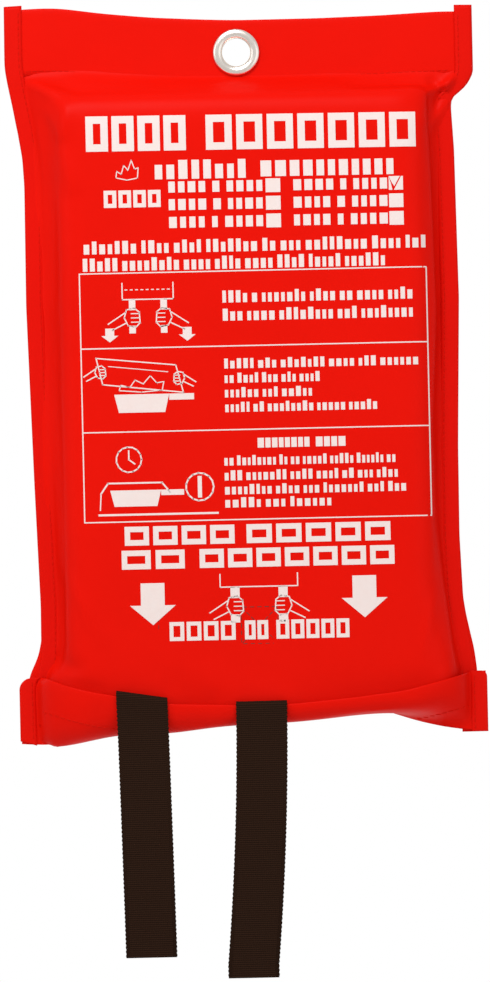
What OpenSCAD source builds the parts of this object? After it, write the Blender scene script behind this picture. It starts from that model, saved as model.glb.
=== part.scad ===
// Fire blanket in its soft wall pouch. The pouch hangs from an eyelet. Two pull tapes are sewn
// to the folded blanket, come out over the folded lip and hang in front. A pull on them opens
// the lip and draws the blanket down out of the pouch.
// Millimetres, +Z up, front towards -Y, origin at the middle of the eyelet's bore.

/* [Pouch] */
// Half of the header's width
header_half_w = 114.5; // [100:0.5:125]
// Top edge of the header above the eyelet's centre
header_top_z = 14.5; // [13.5:0.5:25]
// Depth of the pouch in front of the side seams
front_depth = 19.2; // [18.5:0.1:24]
// Depth of the pouch behind the side seams
back_depth = 5.2; // [4.8:0.1:8]
// Thickness of the coated fabric
fabric_t = 0.8; // [0.4:0.1:0.8]
// Width of the folded edge bindings
binding_w = 8.3; // [6:0.1:10]

/* [Lip] */
// Height of the lip's folded top edge at the sides
lip_top_side_z = -304; // [-306:0.5:-302]
// How far that edge drops at the middle
lip_top_drop = 16.5; // [15:0.5:18]
// Height of the seam at the back of the lip, at the sides
lip_bottom_side_z = -338; // [-340:0.5:-336]
// How far that seam rises at the middle
lip_bottom_rise = 14; // [12:0.5:15]

/* [Eyelet] */
// Radius of the eyelet's bore
eyelet_bore_r = 7; // [5:0.1:7.2]
// Radius of the eyelet's front flange
eyelet_flange_r = 11.5; // [10:0.1:12]

/* [Blanket] */
// Width of the folded blanket
bundle_w = 172; // [160:1:174]
// Height of the folded blanket
bundle_h = 294; // [280:1:294]
// Thickness of the folded blanket
bundle_t = 20.8; // [16:0.1:20.8]

/* [Pull tapes] */
// Width of the webbing
tape_w = 25; // [20:0.5:26]
// Thickness of the webbing
tape_t = 1.3; // [1:0.1:1.3]
// Centre of the left tape
left_tape_x = -52; // [-54:1:-50]
// Lower end of the left tape
left_tape_end_z = -445; // [-460:1:-400]
// Centre of the right tape
right_tape_x = 4; // [0:1:8]
// Lower end of the right tape
right_tape_end_z = -455; // [-470:1:-400]

/* [Hidden] */

fabric_red = "#d81810";
binding_red = "#c8140e";
thread_red = "#a81410";
nickel = "#c9c6bf";
webbing_black = "#2a1d16";
thread_black = "#4a3a30";
glass_cloth = "#e9e6da";

gap = 0.02;
header_seam_z = -13;
shoulder_z = -15;
shoulder_drop = 22;
panel_tuck = 1.7;
side_round = 14;
thread_w = 0.6;
thread_h = 0.3;
thread_gap = 0.15;
binding_half_t = fabric_t + gap + 0.03 + fabric_t;
edge_inset = 1;

// Half width of the body to its bound edge, at each height
edge_widths = [[-340, 112.5], [-318, 110.5], [-305, 108.8], [-297, 107.2], [-284, 105.6],
    [-270, 103.9], [-210, 104], [-123, 106], [-50, 106.2], [-34, 107.6], [-24, 109.8],
    [-16, 113.6], [-12, header_half_w], [40, header_half_w]];
function half_w(z) = lookup(z, edge_widths);
function steps(from, to, n) = [for (i = [0:n]) from + (to - from) * i / n];

// Share of the lip's drop, and of its bulge, at a distance x from the middle
function drop_share(x) = pow(max(cos(90 * min(abs(x) / 112, 1)), 0), 1.3);
function round_off(x, from, run) =
    let (over = max(abs(x) - from, 0) / run)
    over >= 1 ? 0 : sqrt(1 - over * over);
function bulge_share(x) = round_off(x, 80, 26);
function back_share(x) = round_off(x, 70, 23);
function lip_top_z(x) = lip_top_side_z - lip_top_drop * drop_share(x);
function lip_bottom_z(x) = lip_bottom_side_z + lip_bottom_rise * drop_share(x);
function mix(a, b, share) = a + (b - a) * share;

// A grid of points closed into a sheet: outer points first, then the inner ones
module sheet(outer, inner) {
    rows = len(outer);
    cols = len(outer[0]);
    count = rows * cols;
    points = [for (side = [outer, inner]) for (row = side) for (p = row) p];
    quads = [for (r = [0:rows - 2]) for (c = [0:cols - 2])
        [r * cols + c, r * cols + c + 1, (r + 1) * cols + c + 1, (r + 1) * cols + c]];
    rim = concat([for (c = [0:cols - 1]) c],
        [for (r = [1:rows - 1]) r * cols + cols - 1],
        [for (c = [cols - 2:-1:0]) (rows - 1) * cols + c],
        [for (r = [rows - 2:-1:1]) r * cols]);
    rim_count = len(rim);
    outer_faces = [for (q = quads) for (f = [[q[0], q[1], q[2]], [q[0], q[2], q[3]]]) f];
    inner_faces = [for (f = outer_faces) [count + f[0], count + f[2], count + f[1]]];
    rim_faces = [for (i = [0:rim_count - 1])
        let (a = rim[i], b = rim[(i + 1) % rim_count])
        for (f = [[b, a, count + a], [b, count + a, count + b]]) f];
    polyhedron(points = points, faces = concat(outer_faces, inner_faces, rim_faces));
}

// An outline in X and Z, given a thickness from y_low to y_high
module plate(outline, y_low, y_high) {
    translate([0, y_high, 0])
        rotate([90, 0, 0])
            linear_extrude(height = y_high - y_low)
                polygon(outline);
}

// A band that follows the body's side edge, between two distances in from that edge
function edge_band(side, inset_a, inset_b, z_low, z_high) =
    let (zs = steps(z_low, z_high, 36))
    concat([for (z = zs) [side * (half_w(z) - inset_a), z]],
        [for (i = [36:-1:0]) [side * (half_w(zs[i]) - inset_b), zs[i]]]);

module eyelet_hole() {
    rotate([90, 0, 0])
        cylinder(r = eyelet_bore_r + 0.65, h = 20, center = true, $fn = 64);
}

// ---- front panel: flat at the header, then rounded over the blanket's edges ----

// One row of the panel across its width: the share of the depth is 0 at the header
function panel_row(z_outer, z_inner, share, inner) =
    let (edge = half_w(z_outer) - edge_inset,
        foot = half_w(z_outer) - binding_w - 2,
        wall = inner ? fabric_t : 0,
        y_base = inner ? -gap : -gap - fabric_t,
        z = inner ? z_inner : z_outer,
        arc = [for (angle = [90:-15:0])
            [foot - side_round + (side_round - wall) * sin(angle), cos(angle)]],
        half = concat([[edge, 0]], arc, [for (x = [72, 52, 32, 12]) [x, 1]]))
    [for (side = [-1, 1]) for (i = [0:len(half) - 1])
        let (p = half[side < 0 ? i : len(half) - 1 - i])
        [side * p[0], y_base - front_depth * share * p[1], z]];

function panel_rows(inner) = concat(
    [for (z = [header_top_z - 1, 8, 0, -8]) panel_row(z, z, 0, inner)],
    [for (angle = [90:-15:0])
        let (base = shoulder_z - shoulder_drop)
        panel_row(base + shoulder_drop * sin(angle), base + (shoulder_drop - fabric_t) * sin(angle),
            cos(angle), inner)],
    [for (z = [-70:-30:-280]) panel_row(z, z, 1, inner)],
    [for (z = [-290, -300]) panel_row(z, z, 1, inner)],
    [[for (p = panel_row(-310, -310, 1, inner)) [p[0], p[1], lip_top_z(p[0]) - panel_tuck]]]);

module front_panel() {
    color(fabric_red)
        difference() {
            sheet(panel_rows(false), panel_rows(true));
            eyelet_hole();
        }
}

// ---- back panel: a shallow tray with a flat back that lies on the wall ----

tray_half_w = 95;
tray_slope = 6;
tray_top_z = -16;
tray_drop = 9;

module tray(depth, inset, z_end) {
    foot = tray_half_w - inset;
    intersection() {
        translate([0, 0, z_end])
            linear_extrude(height = tray_top_z - inset - z_end)
                polygon([[-foot, 0], [-foot + tray_slope, depth], [foot - tray_slope, depth],
                    [foot, 0]]);
        translate([-150, 0, 0])
            rotate([90, 0, 90])
                linear_extrude(height = 300)
                    polygon([[0, tray_top_z - inset], [depth, tray_top_z - inset - tray_drop],
                        [depth, z_end], [0, z_end]]);
    }
}

function back_outline() =
    let (zs = steps(-330, header_top_z - 1, 30),
        xs = steps(-110, 110, 40))
    concat([for (z = zs) [half_w(z) - edge_inset, z]],
        [for (i = [30:-1:0]) [edge_inset - half_w(zs[i]), zs[i]]],
        [for (x = xs) [x, lip_bottom_z(x)]]);

module back_panel() {
    color(fabric_red)
        intersection() {
            difference() {
                union() {
                    translate([-130, gap, -350])
                        cube([260, fabric_t, 370]);
                    tray(back_depth + fabric_t, 0, -345);
                }
                translate([0, -0.5, 0])
                    tray(back_depth + 0.5, fabric_t, -346);
                eyelet_hole();
            }
            plate(back_outline(), -5, 20);
        }
}

// ---- header band, folded over the top edge ----

module header_band() {
    half = header_half_w - binding_w - 0.2;
    slot = binding_half_t - fabric_t;
    color(fabric_red)
        difference() {
            translate([-half, -binding_half_t, header_seam_z - 2])
                cube([2 * half, 2 * binding_half_t, header_top_z - header_seam_z + 2]);
            translate([-half - 1, -slot, header_seam_z - 3])
                cube([2 * half + 2, 2 * slot, header_top_z - header_seam_z + 2.4]);
            eyelet_hole();
        }
}

module header_stitching() {
    half = header_half_w - binding_w - 4;
    color(thread_red)
        for (y = [-binding_half_t - thread_h - gap, binding_half_t + gap])
            translate([-half, y, header_seam_z - thread_w / 2])
                cube([2 * half, thread_h, thread_w]);
}

// ---- side bindings, folded over both panels ----

binding_low_z = -337;
binding_high_z = header_top_z + 4;

module side_binding(side) {
    slot = binding_half_t - fabric_t;
    color(binding_red)
        difference() {
            plate(edge_band(side, binding_w, -fabric_t, binding_low_z, binding_high_z),
                -binding_half_t, binding_half_t);
            plate(edge_band(side, binding_w + 2, -0.02, binding_low_z - 1, binding_high_z + 1),
                -slot, slot);
        }
}

module side_stitching(side) {
    inset = binding_w - 1.6;
    for (y = [-binding_half_t - thread_h - gap, binding_half_t + gap])
        color(thread_red)
            plate(edge_band(side, inset, inset - thread_w, binding_low_z + 4, binding_high_z - 4),
                y, y + thread_h);
}

module left_side_binding() { side_binding(-1); }
module right_side_binding() { side_binding(1); }
module left_binding_stitching() { side_stitching(-1); }
module right_binding_stitching() { side_stitching(1); }

// ---- eyelet: a flanged barrel clinched over a washer ----

eyelet_wall = 0.55;
eyelet_bore_half = 2.6;
flange_t = 1.3;
clinch_r = 9;

module turned(profile) {
    rotate([-90, 0, 0])
        rotate_extrude($fn = 96)
            polygon(profile);
}

module eyelet() {
    front = -binding_half_t - gap;
    back = binding_half_t + 0.85;
    r = eyelet_bore_r;
    color(nickel)
        turned(concat(
            [[r, -eyelet_bore_half], [r, eyelet_bore_half]],
            [for (a = [15:15:165]) [(r + clinch_r) / 2 - (clinch_r - r) / 2 * cos(a),
                eyelet_bore_half + 0.9 * sin(a)]],
            [[clinch_r, back], [r + eyelet_wall, back], [r + eyelet_wall, front],
                [eyelet_flange_r, front]],
            [for (a = [15:15:165]) [(r + eyelet_flange_r) / 2 + (eyelet_flange_r - r) / 2 * cos(a),
                front - 0.35 - flange_t * sin(a)]]));
}

module eyelet_washer() {
    y_front = binding_half_t + gap;
    color(nickel)
        turned([[eyelet_bore_r + eyelet_wall + 0.05, y_front], [11.2, y_front],
            [10.9, y_front + 0.8], [eyelet_bore_r + eyelet_wall + 0.05, y_front + 0.8]]);
}

// ---- bottom lip: joined to the back panel's lower edge, scooped forward and up ----

lip_half_w = 114.5;
lip_side_y = -3.2;
lip_front_y = -23.1;
lip_back_y = back_depth - 0.8;
lip_share_steps = 20;

// Middle of the lip's fabric at x, from its back seam (s = 0) to its folded top edge (s = 1)
function lip_point(x, s) =
    let (b = bulge_share(x),
        d = drop_share(x),
        ys = [mix(lip_side_y, lip_back_y, back_share(x)), mix(lip_side_y, -2, b),
            mix(lip_side_y, lip_front_y, b), mix(lip_side_y, lip_front_y, b)],
        zs = [lip_bottom_z(x), mix(-327, -330, d), mix(-330, -336, d), lip_top_z(x)],
        w = [pow(1 - s, 3), 3 * s * pow(1 - s, 2), 3 * s * s * (1 - s), pow(s, 3)])
    [x, w * ys, w * zs];

// The same point moved off the fabric's middle, outwards if positive
function lip_offset(x, s, off) =
    let (a = lip_point(x, max(s - 0.01, 0)),
        b = lip_point(x, min(s + 0.01, 1)),
        run = b - a,
        size = norm([run[1], run[2]]),
        p = lip_point(x, s))
    [x, p[1] - off * run[2] / size, p[2] + off * run[1] / size];

function lip_xs(half) = concat(steps(-half, -78, 9), steps(-65, 65, 10), steps(78, half, 9));

module lip_strip(half, s_low, s_high, off_low, off_high, rows) {
    ss = steps(s_high, s_low, rows);
    xs = lip_xs(half);
    sheet([for (s = ss) [for (x = xs) lip_offset(x, s, off_high)]],
        [for (s = ss) [for (x = xs) lip_offset(x, s, off_low)]]);
}

module bottom_lip() {
    color(fabric_red)
        lip_strip(lip_half_w, 0, 1, -fabric_t / 2, fabric_t / 2, lip_share_steps);
}

module lip_row_of_thread(s, above) {
    low = fabric_t / 2 + above;
    color(thread_red)
        lip_strip(lip_half_w - binding_w - 2, s, s + 0.018, low, low + thread_h, 1);
}

module lip_hem_stitching() { lip_row_of_thread(0.5, thread_gap); }
module lip_seam_stitching() { lip_row_of_thread(0.18, 2 * thread_gap); }

// A short binding round each end of the lip
lip_binding_t = fabric_t / 2 + 0.03 + fabric_t / 2;

function lip_end_outline(side, x_in, x_out, z_margin) =
    let (round = 3)
    [[side * x_in, lip_bottom_side_z - z_margin], [side * x_out, lip_bottom_side_z - z_margin],
        [side * x_out, lip_top_side_z + z_margin - round],
        [side * (x_out - round * 0.3), lip_top_side_z + z_margin - round * 0.3],
        [side * (x_out - round), lip_top_side_z + z_margin], [side * x_in, lip_top_side_z + z_margin]];

module lip_binding(side) {
    slot = fabric_t / 2 + 0.04;
    color(binding_red)
        difference() {
            plate(lip_end_outline(side, lip_half_w - binding_w + 0.6, lip_half_w + 0.7, 0),
                lip_side_y - lip_binding_t - 0.1, lip_side_y + lip_binding_t + 0.1);
            plate([[side * (lip_half_w - 15), -350], [side * (lip_half_w + 0.05), -350],
                [side * (lip_half_w + 0.05), -290], [side * (lip_half_w - 15), -290]],
                lip_side_y - slot, lip_side_y + slot);
        }
}

module lip_end_stitching(side) {
    x_in = lip_half_w - binding_w + 1.6;
    y_front = lip_side_y - lip_binding_t - 0.1 - gap;
    color(thread_red)
        plate([[side * x_in, lip_bottom_side_z + 2], [side * (x_in + thread_w), lip_bottom_side_z + 2],
            [side * (x_in + thread_w), lip_top_side_z - 2], [side * x_in, lip_top_side_z - 2]],
            y_front - thread_h, y_front);
}

module lip_left_binding() { lip_binding(-1); }
module lip_right_binding() { lip_binding(1); }
module lip_left_stitching() { lip_end_stitching(-1); }
module lip_right_stitching() { lip_end_stitching(1); }

// ---- folded blanket ----

bundle_top_z = -21;
bundle_front_y = -16.4;
bundle_round = 9;

function rounded_box(w, h, r, n) = [for (corner = [0:3]) for (i = [0:n])
    let (a = 90 * corner + 90 * i / n,
        sx = (corner == 0 || corner == 3) ? 1 : -1,
        sy = corner < 2 ? 1 : -1)
    [sx * (w / 2 - r) + r * cos(a), sy * (h / 2 - r) + r * sin(a)]];

module folded_blanket() {
    y_mid = bundle_front_y + bundle_t / 2;
    color(glass_cloth)
        intersection() {
            translate([0, y_mid, bundle_top_z - bundle_h])
                linear_extrude(height = bundle_h)
                    polygon(rounded_box(bundle_w, bundle_t, bundle_round, 6));
            translate([-150, y_mid, bundle_top_z - bundle_h / 2])
                rotate([90, 0, 90])
                    linear_extrude(height = 300)
                        polygon(rounded_box(bundle_t, bundle_h, bundle_round, 6));
        }
}

// ---- pull tapes ----

tape_sewn_y = bundle_front_y - 0.35 - tape_t / 2;
tape_rise_y = -gap - fabric_t - front_depth - 0.45 - tape_t / 2;
tape_front_y = -24.5;
tape_sewn_top_z = -268;
left_turn_z = -318.5;
right_turn_z = -321.8;
left_fold_z = -313.2;
right_fold_z = -319.2;

// A ribbon of webbing along points in Y and Z, seen from its side
function arc_points(cy, cz, r, from, to, n) =
    [for (i = [0:n]) let (a = from + (to - from) * i / n) [cy + r * cos(a), cz + r * sin(a)]];

module ribbon(x_mid, outline) {
    translate([x_mid - tape_w / 2, 0, 0])
        rotate([90, 0, 90])
            linear_extrude(height = tape_w)
                polygon(outline);
}

// Sewn to the blanket's front, round under the front panel's lower edge and up to the fold
module tape_sewn_end(x_mid, turn_z, fold_z) {
    turn_y = (tape_sewn_y + tape_rise_y) / 2;
    turn_r = (tape_sewn_y - tape_rise_y) / 2;
    fold_y = (tape_rise_y + tape_front_y) / 2;
    fold_r = (tape_rise_y - tape_front_y) / 2;
    half = tape_t / 2;
    fold_end = 155;
    color(webbing_black)
        ribbon(x_mid, concat(
            [[tape_sewn_y + half, tape_sewn_top_z]],
            arc_points(turn_y, turn_z, turn_r + half, 0, -180, 10),
            arc_points(fold_y, fold_z, fold_r - half, 0, fold_end, 8),
            arc_points(fold_y, fold_z, fold_r + half, fold_end, 0, 8),
            arc_points(turn_y, turn_z, turn_r - half, -180, 0, 10),
            [[tape_sewn_y - half, tape_sewn_top_z]]));
}

module tape_hanging(x_mid, fold_z, end_z) {
    half = tape_t / 2;
    color(webbing_black)
        ribbon(x_mid, concat(arc_points(tape_front_y, fold_z - half, half, 0, 180, 8),
            [[tape_front_y - half, end_z], [tape_front_y + half, end_z]]));
}

// A square of thread with a cross in it
module tape_box_stitch(x_mid) {
    size = 18;
    diagonal = size * sqrt(2) - 2 * thread_w;
    color(thread_black)
        translate([x_mid, tape_sewn_y - tape_t / 2 - gap, tape_sewn_top_z - 14])
            rotate([90, 0, 0])
                linear_extrude(height = thread_h) {
                    difference() {
                        square(size, center = true);
                        square(size - 2 * thread_w, center = true);
                    }
                    for (turn = [45, -45])
                        rotate(turn)
                            square([diagonal, thread_w], center = true);
                }
}

module left_tape_sewn_end() { tape_sewn_end(left_tape_x, left_turn_z, left_fold_z); }
module right_tape_sewn_end() { tape_sewn_end(right_tape_x, right_turn_z, right_fold_z); }
module left_tape_box_stitch() { tape_box_stitch(left_tape_x); }
module right_tape_box_stitch() { tape_box_stitch(right_tape_x); }
module left_tape_hanging() { tape_hanging(left_tape_x, left_fold_z, left_tape_end_z); }
module right_tape_hanging() { tape_hanging(right_tape_x, right_fold_z, right_tape_end_z); }

front_panel();
back_panel();
header_band();
left_side_binding();
right_side_binding();
eyelet();
eyelet_washer();
header_stitching();
left_binding_stitching();
right_binding_stitching();
bottom_lip();
lip_left_binding();
lip_right_binding();
lip_hem_stitching();
lip_seam_stitching();
lip_left_stitching();
lip_right_stitching();
folded_blanket();
left_tape_sewn_end();
right_tape_sewn_end();
left_tape_box_stitch();
right_tape_box_stitch();
left_tape_hanging();
right_tape_hanging();
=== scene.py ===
"""Fire blanket in a soft red wall pouch with an eyelet, a folded lip and two pull tapes."""

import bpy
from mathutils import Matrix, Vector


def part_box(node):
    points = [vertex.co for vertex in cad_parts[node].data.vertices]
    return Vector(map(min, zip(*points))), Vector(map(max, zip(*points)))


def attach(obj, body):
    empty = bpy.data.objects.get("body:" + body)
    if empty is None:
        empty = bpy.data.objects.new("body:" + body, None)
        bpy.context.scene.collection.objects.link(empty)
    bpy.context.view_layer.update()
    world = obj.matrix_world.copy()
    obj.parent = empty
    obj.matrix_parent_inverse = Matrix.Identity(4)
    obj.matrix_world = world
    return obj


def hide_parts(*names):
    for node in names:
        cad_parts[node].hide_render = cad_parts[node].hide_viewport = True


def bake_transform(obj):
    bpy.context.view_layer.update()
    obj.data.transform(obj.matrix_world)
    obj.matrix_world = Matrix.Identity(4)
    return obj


bl_info = {
    "name": "Fire Blanket Pouch",
    "version": (1, 0, 0),
    "blender": (4, 5, 0),
    "location": "View3D > Sidebar > Fire Blanket",
    "description": "Builds a fire blanket in its soft wall pouch, piece by piece",
    "category": "Object",
}

import math
import random

import bmesh
import bpy
import numpy as np
from mathutils import Vector
from mathutils.bvhtree import BVHTree

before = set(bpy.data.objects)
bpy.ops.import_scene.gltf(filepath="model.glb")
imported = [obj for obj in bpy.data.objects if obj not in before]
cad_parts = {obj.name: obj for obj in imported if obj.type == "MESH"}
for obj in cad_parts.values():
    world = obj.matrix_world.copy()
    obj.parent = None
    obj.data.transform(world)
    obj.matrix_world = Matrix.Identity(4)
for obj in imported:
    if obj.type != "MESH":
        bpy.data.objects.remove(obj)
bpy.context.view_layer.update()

MM = 0.001

FRONT_LOW, FRONT_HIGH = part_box("front_panel")
BACK_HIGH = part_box("back_panel")[1]
BAND_LOW, BAND_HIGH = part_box("header_band")
LIP_LOW, LIP_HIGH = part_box("bottom_lip")
BUNDLE_LOW, BUNDLE_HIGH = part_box("folded_blanket")
LEFT_TAPE_LOW, LEFT_TAPE_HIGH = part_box("left_tape_hanging")
RIGHT_TAPE_LOW, RIGHT_TAPE_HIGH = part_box("right_tape_hanging")
LEFT_SEWN_LOW, LEFT_SEWN_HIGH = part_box("left_tape_sewn_end")
RIGHT_SEWN_LOW, RIGHT_SEWN_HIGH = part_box("right_tape_sewn_end")

# How far the front panel's middle stands in front of the side seams
FRONT_DEPTH = -FRONT_LOW.y - 0.8 * MM
# Half the gap between the two panels where they are sewn together
PANEL_FACE_Y = 0.52 * MM
SEAM_Z = BAND_LOW.z + 2 * MM
EYELET_HOLE_R = 7.65 * MM

LIP_SIDE_TOP_Z = LIP_HIGH.z
LIP_SIDE_BOTTOM_Z = LIP_LOW.z
LIP_HALF_W = LIP_HIGH.x
LIP_TOP_DROP = 16.5 * MM
LIP_BOTTOM_RISE = 14 * MM
LIP_SIDE_Y = -3.2 * MM
LIP_FRONT_Y = -23.1 * MM
LIP_BACK_Y = BACK_HIGH.y - 1.6 * MM


# ---------------------------------------------------------------- sizes and colours


class FireBlanketSizes(bpy.types.PropertyGroup):
    fabric_t: bpy.props.FloatProperty(
        name="Fabric thickness", description="Thickness of the coated fabric",
        default=0.5 * MM, unit="LENGTH")
    binding_w: bpy.props.FloatProperty(
        name="Binding width", description="Width of the folded edge bindings",
        default=8.3 * MM, unit="LENGTH")
    stitch_inset: bpy.props.FloatProperty(
        name="Stitch inset", description="Distance of a row of stitches from its edge",
        default=1.7 * MM, unit="LENGTH")
    stitch_pitch: bpy.props.FloatProperty(
        name="Stitch pitch", description="Distance from one stitch to the next",
        default=3.1 * MM, unit="LENGTH")
    tape_w: bpy.props.FloatProperty(
        name="Tape width", description="Width of the pull tape webbing",
        default=LEFT_TAPE_HIGH.x - LEFT_TAPE_LOW.x, unit="LENGTH")
    tape_t: bpy.props.FloatProperty(
        name="Tape thickness", description="Thickness of the pull tape webbing",
        default=1.2 * MM, unit="LENGTH")
    blanket_side: bpy.props.FloatProperty(
        name="Blanket side", description="Side of the square glass cloth before it is folded",
        default=1.2, unit="LENGTH")


class FireBlanketColours(bpy.types.PropertyGroup):
    fabric: bpy.props.FloatVectorProperty(
        name="Coated fabric", description="Red of the pouch", subtype="COLOR", size=3,
        default=(0.80, 0.006, 0.0015), min=0, max=1)
    binding: bpy.props.FloatVectorProperty(
        name="Binding", description="Red of the edge bindings", subtype="COLOR", size=3,
        default=(0.76, 0.006, 0.002), min=0, max=1)
    thread: bpy.props.FloatVectorProperty(
        name="Thread", description="Red of the stitches", subtype="COLOR", size=3,
        default=(0.72, 0.008, 0.002), min=0, max=1)
    ink: bpy.props.FloatVectorProperty(
        name="Ink", description="White of the printed panel", subtype="COLOR", size=3,
        default=(0.88, 0.77, 0.74), min=0, max=1)
    webbing: bpy.props.FloatVectorProperty(
        name="Webbing", description="Black of the pull tapes", subtype="COLOR", size=3,
        default=(0.018, 0.0073, 0.0036), min=0, max=1)
    glass_cloth: bpy.props.FloatVectorProperty(
        name="Glass cloth", description="Off-white of the folded blanket", subtype="COLOR", size=3,
        default=(0.80, 0.78, 0.70), min=0, max=1)


def sizes():
    return bpy.context.scene.fire_blanket_sizes


def colours():
    return bpy.context.scene.fire_blanket_colours


# ---------------------------------------------------------------- shader expressions


class Value:
    """A number socket that takes part in Python expressions."""

    def __init__(self, shader, socket):
        self.shader = shader
        self.socket = socket

    def _math(self, operation, *others):
        return self.shader.node("ShaderNodeMath", {"operation": operation}, (self, *others))

    def __add__(self, other):
        return self._math("ADD", other)

    def __radd__(self, other):
        return self._math("ADD", other)

    def __sub__(self, other):
        return self._math("SUBTRACT", other)

    def __rsub__(self, other):
        return self.shader.number(other)._math("SUBTRACT", self)

    def __mul__(self, other):
        return self._math("MULTIPLY", other)

    def __rmul__(self, other):
        return self._math("MULTIPLY", other)

    def sine(self):
        return self._math("SINE")


class Shader:
    """One material's node tree. Constants go straight to the principled shader's sockets."""

    def __init__(self, name, **constants):
        self.material = bpy.data.materials.new(name)
        self.material.use_nodes = True
        self.tree = self.material.node_tree
        self.surface = self.tree.nodes["Principled BSDF"]
        for socket, value in constants.items():
            self.surface.inputs[socket.replace("_", " ")].default_value = value

    def node(self, kind, settings=None, inputs=(), output=0):
        made = self.tree.nodes.new(kind)
        for name, value in (settings or {}).items():
            if name == "stops":
                ramp = made.color_ramp
                for index, (place, colour) in enumerate(value):
                    stop = ramp.elements[index] if index < 2 else ramp.elements.new(place)
                    stop.position = place
                    stop.color = colour
            else:
                setattr(made, name, value)
        pairs = inputs.items() if isinstance(inputs, dict) else enumerate(inputs)
        for key, value in pairs:
            if isinstance(value, Value):
                self.tree.links.new(value.socket, made.inputs[key])
            else:
                made.inputs[key].default_value = value
        return Value(self, made.outputs[output])

    def number(self, value):
        return self.node("ShaderNodeMath", {"operation": "ADD"}, (value, 0.0))

    def place(self):
        return self.node("ShaderNodeTexCoord", output="Object")

    def pattern(self, name):
        """The piece's own U and V, in millimetres of cloth."""
        uv = self.node("ShaderNodeUVMap", {"uv_map": name})
        split = "ShaderNodeSeparateXYZ"
        return self.node(split, None, (uv,), 0), self.node(split, None, (uv,), 1)

    def noise(self, scale, detail=3.0, roughness=0.55, vector=None):
        return self.node("ShaderNodeTexNoise", {"noise_dimensions": "3D"},
                         {"Vector": vector or self.place(), "Scale": scale, "Detail": detail,
                          "Roughness": roughness})

    def blend(self, share, first, second):
        return self.node("ShaderNodeMix", {"data_type": "RGBA"},
                         {0: share, 6: first, 7: second}, output=2)

    def feed(self, socket, value):
        self.tree.links.new(value.socket, self.surface.inputs[socket])

    def bump(self, height, distance, strength=1.0, under=None):
        inputs = {"Height": height, "Distance": distance, "Strength": strength}
        if under is not None:
            inputs["Normal"] = under
        return self.node("ShaderNodeBump", None, inputs)


def rgba(colour, factor=1.0):
    return tuple(min(1.0, c * factor) for c in colour) + (1.0,)


# Threads of each cloth to a millimetre, then the pitch of the webbing's ribs and floats in mm
FABRIC_THREADS_PER_MM = 2.2
GLASS_THREADS_PER_MM = 0.9
RIB_PITCH = 1.05
FLOAT_PITCH = 0.9

MATERIALS = {}


def material(name, maker):
    if name not in MATERIALS:
        MATERIALS[name] = maker(name)
    return MATERIALS[name]


def weave_height(shader, threads_per_mm, uv_name):
    """Over and under threads of a plain weave, from 0 to 1."""
    u, v = shader.pattern(uv_name)
    turn = math.pi * threads_per_mm
    across = (u * turn).sine()
    along = (v * turn).sine()
    return across * along * 0.5 + 0.5


def coated_fabric(name, colour, roughness, uv_name="cloth"):
    """Polyester with a satin plastic coating: a fine weave shows faintly through it."""
    shader = Shader(name, Roughness=roughness, Specular_IOR_Level=0.04)
    cloud = shader.noise(18.0, 4.0)
    fine = shader.noise(900.0, 2.0)
    tone = shader.blend(cloud, rgba(colour, 0.94), rgba(colour, 1.05))
    shader.feed("Base Color", tone)
    shader.feed("Roughness", roughness - 0.05 + cloud * 0.08 + fine * 0.04)
    threads = weave_height(shader, FABRIC_THREADS_PER_MM, uv_name)
    weave = shader.bump(threads, 0.03 * MM, 0.5)
    creases = shader.bump(shader.noise(70.0, 5.0, 0.6), 0.35 * MM, 0.35, weave)
    shader.feed("Normal", creases)
    return shader.material


def red_fabric(name):
    return coated_fabric(name, colours().fabric, 0.36)


def red_binding(name):
    return coated_fabric(name, colours().binding, 0.42)


def red_thread(name):
    shader = Shader(name, Roughness=0.55, Specular_IOR_Level=0.05)
    twist = shader.noise(2600.0, 2.0)
    shader.feed("Base Color", shader.blend(twist, rgba(colours().thread, 0.8),
                                           rgba(colours().thread, 1.15)))
    shader.feed("Normal", shader.bump(twist, 0.05 * MM))
    return shader.material


def white_ink(name):
    """Screen print: matt, a little uneven where the weave lets the red through."""
    shader = Shader(name, Roughness=0.5, Specular_IOR_Level=0.35)
    patchy = shader.noise(260.0, 3.0)
    ink = colours().ink
    warm = (ink[0], ink[1] * 0.93, ink[2] * 0.91, 1.0)
    shader.feed("Base Color", shader.blend(patchy, warm, rgba(ink)))
    shader.feed("Roughness", patchy * 0.12 + 0.44)
    shader.feed("Normal", shader.bump(shader.noise(1500.0, 2.0), 0.03 * MM, 0.6))
    return shader.material


def nickel(name):
    shader = Shader(name, Metallic=1.0, Roughness=0.24)
    cloud = shader.noise(240.0, 4.0)
    scratch = shader.noise(1400.0, 2.0)
    # The base colour's warm tint is partly the nickel's own colour and partly a painted reflection
    # of the red fabric around it; the cloud noise varies it at random.
    shader.feed("Base Color", shader.blend(cloud, (0.97, 0.87, 0.78, 1), (1.0, 0.94, 0.87, 1)))
    shader.feed("Roughness", cloud * 0.14 + scratch * 0.06 + 0.14)
    shader.feed("Normal", shader.bump(scratch, 0.02 * MM, 0.4))
    return shader.material


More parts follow.
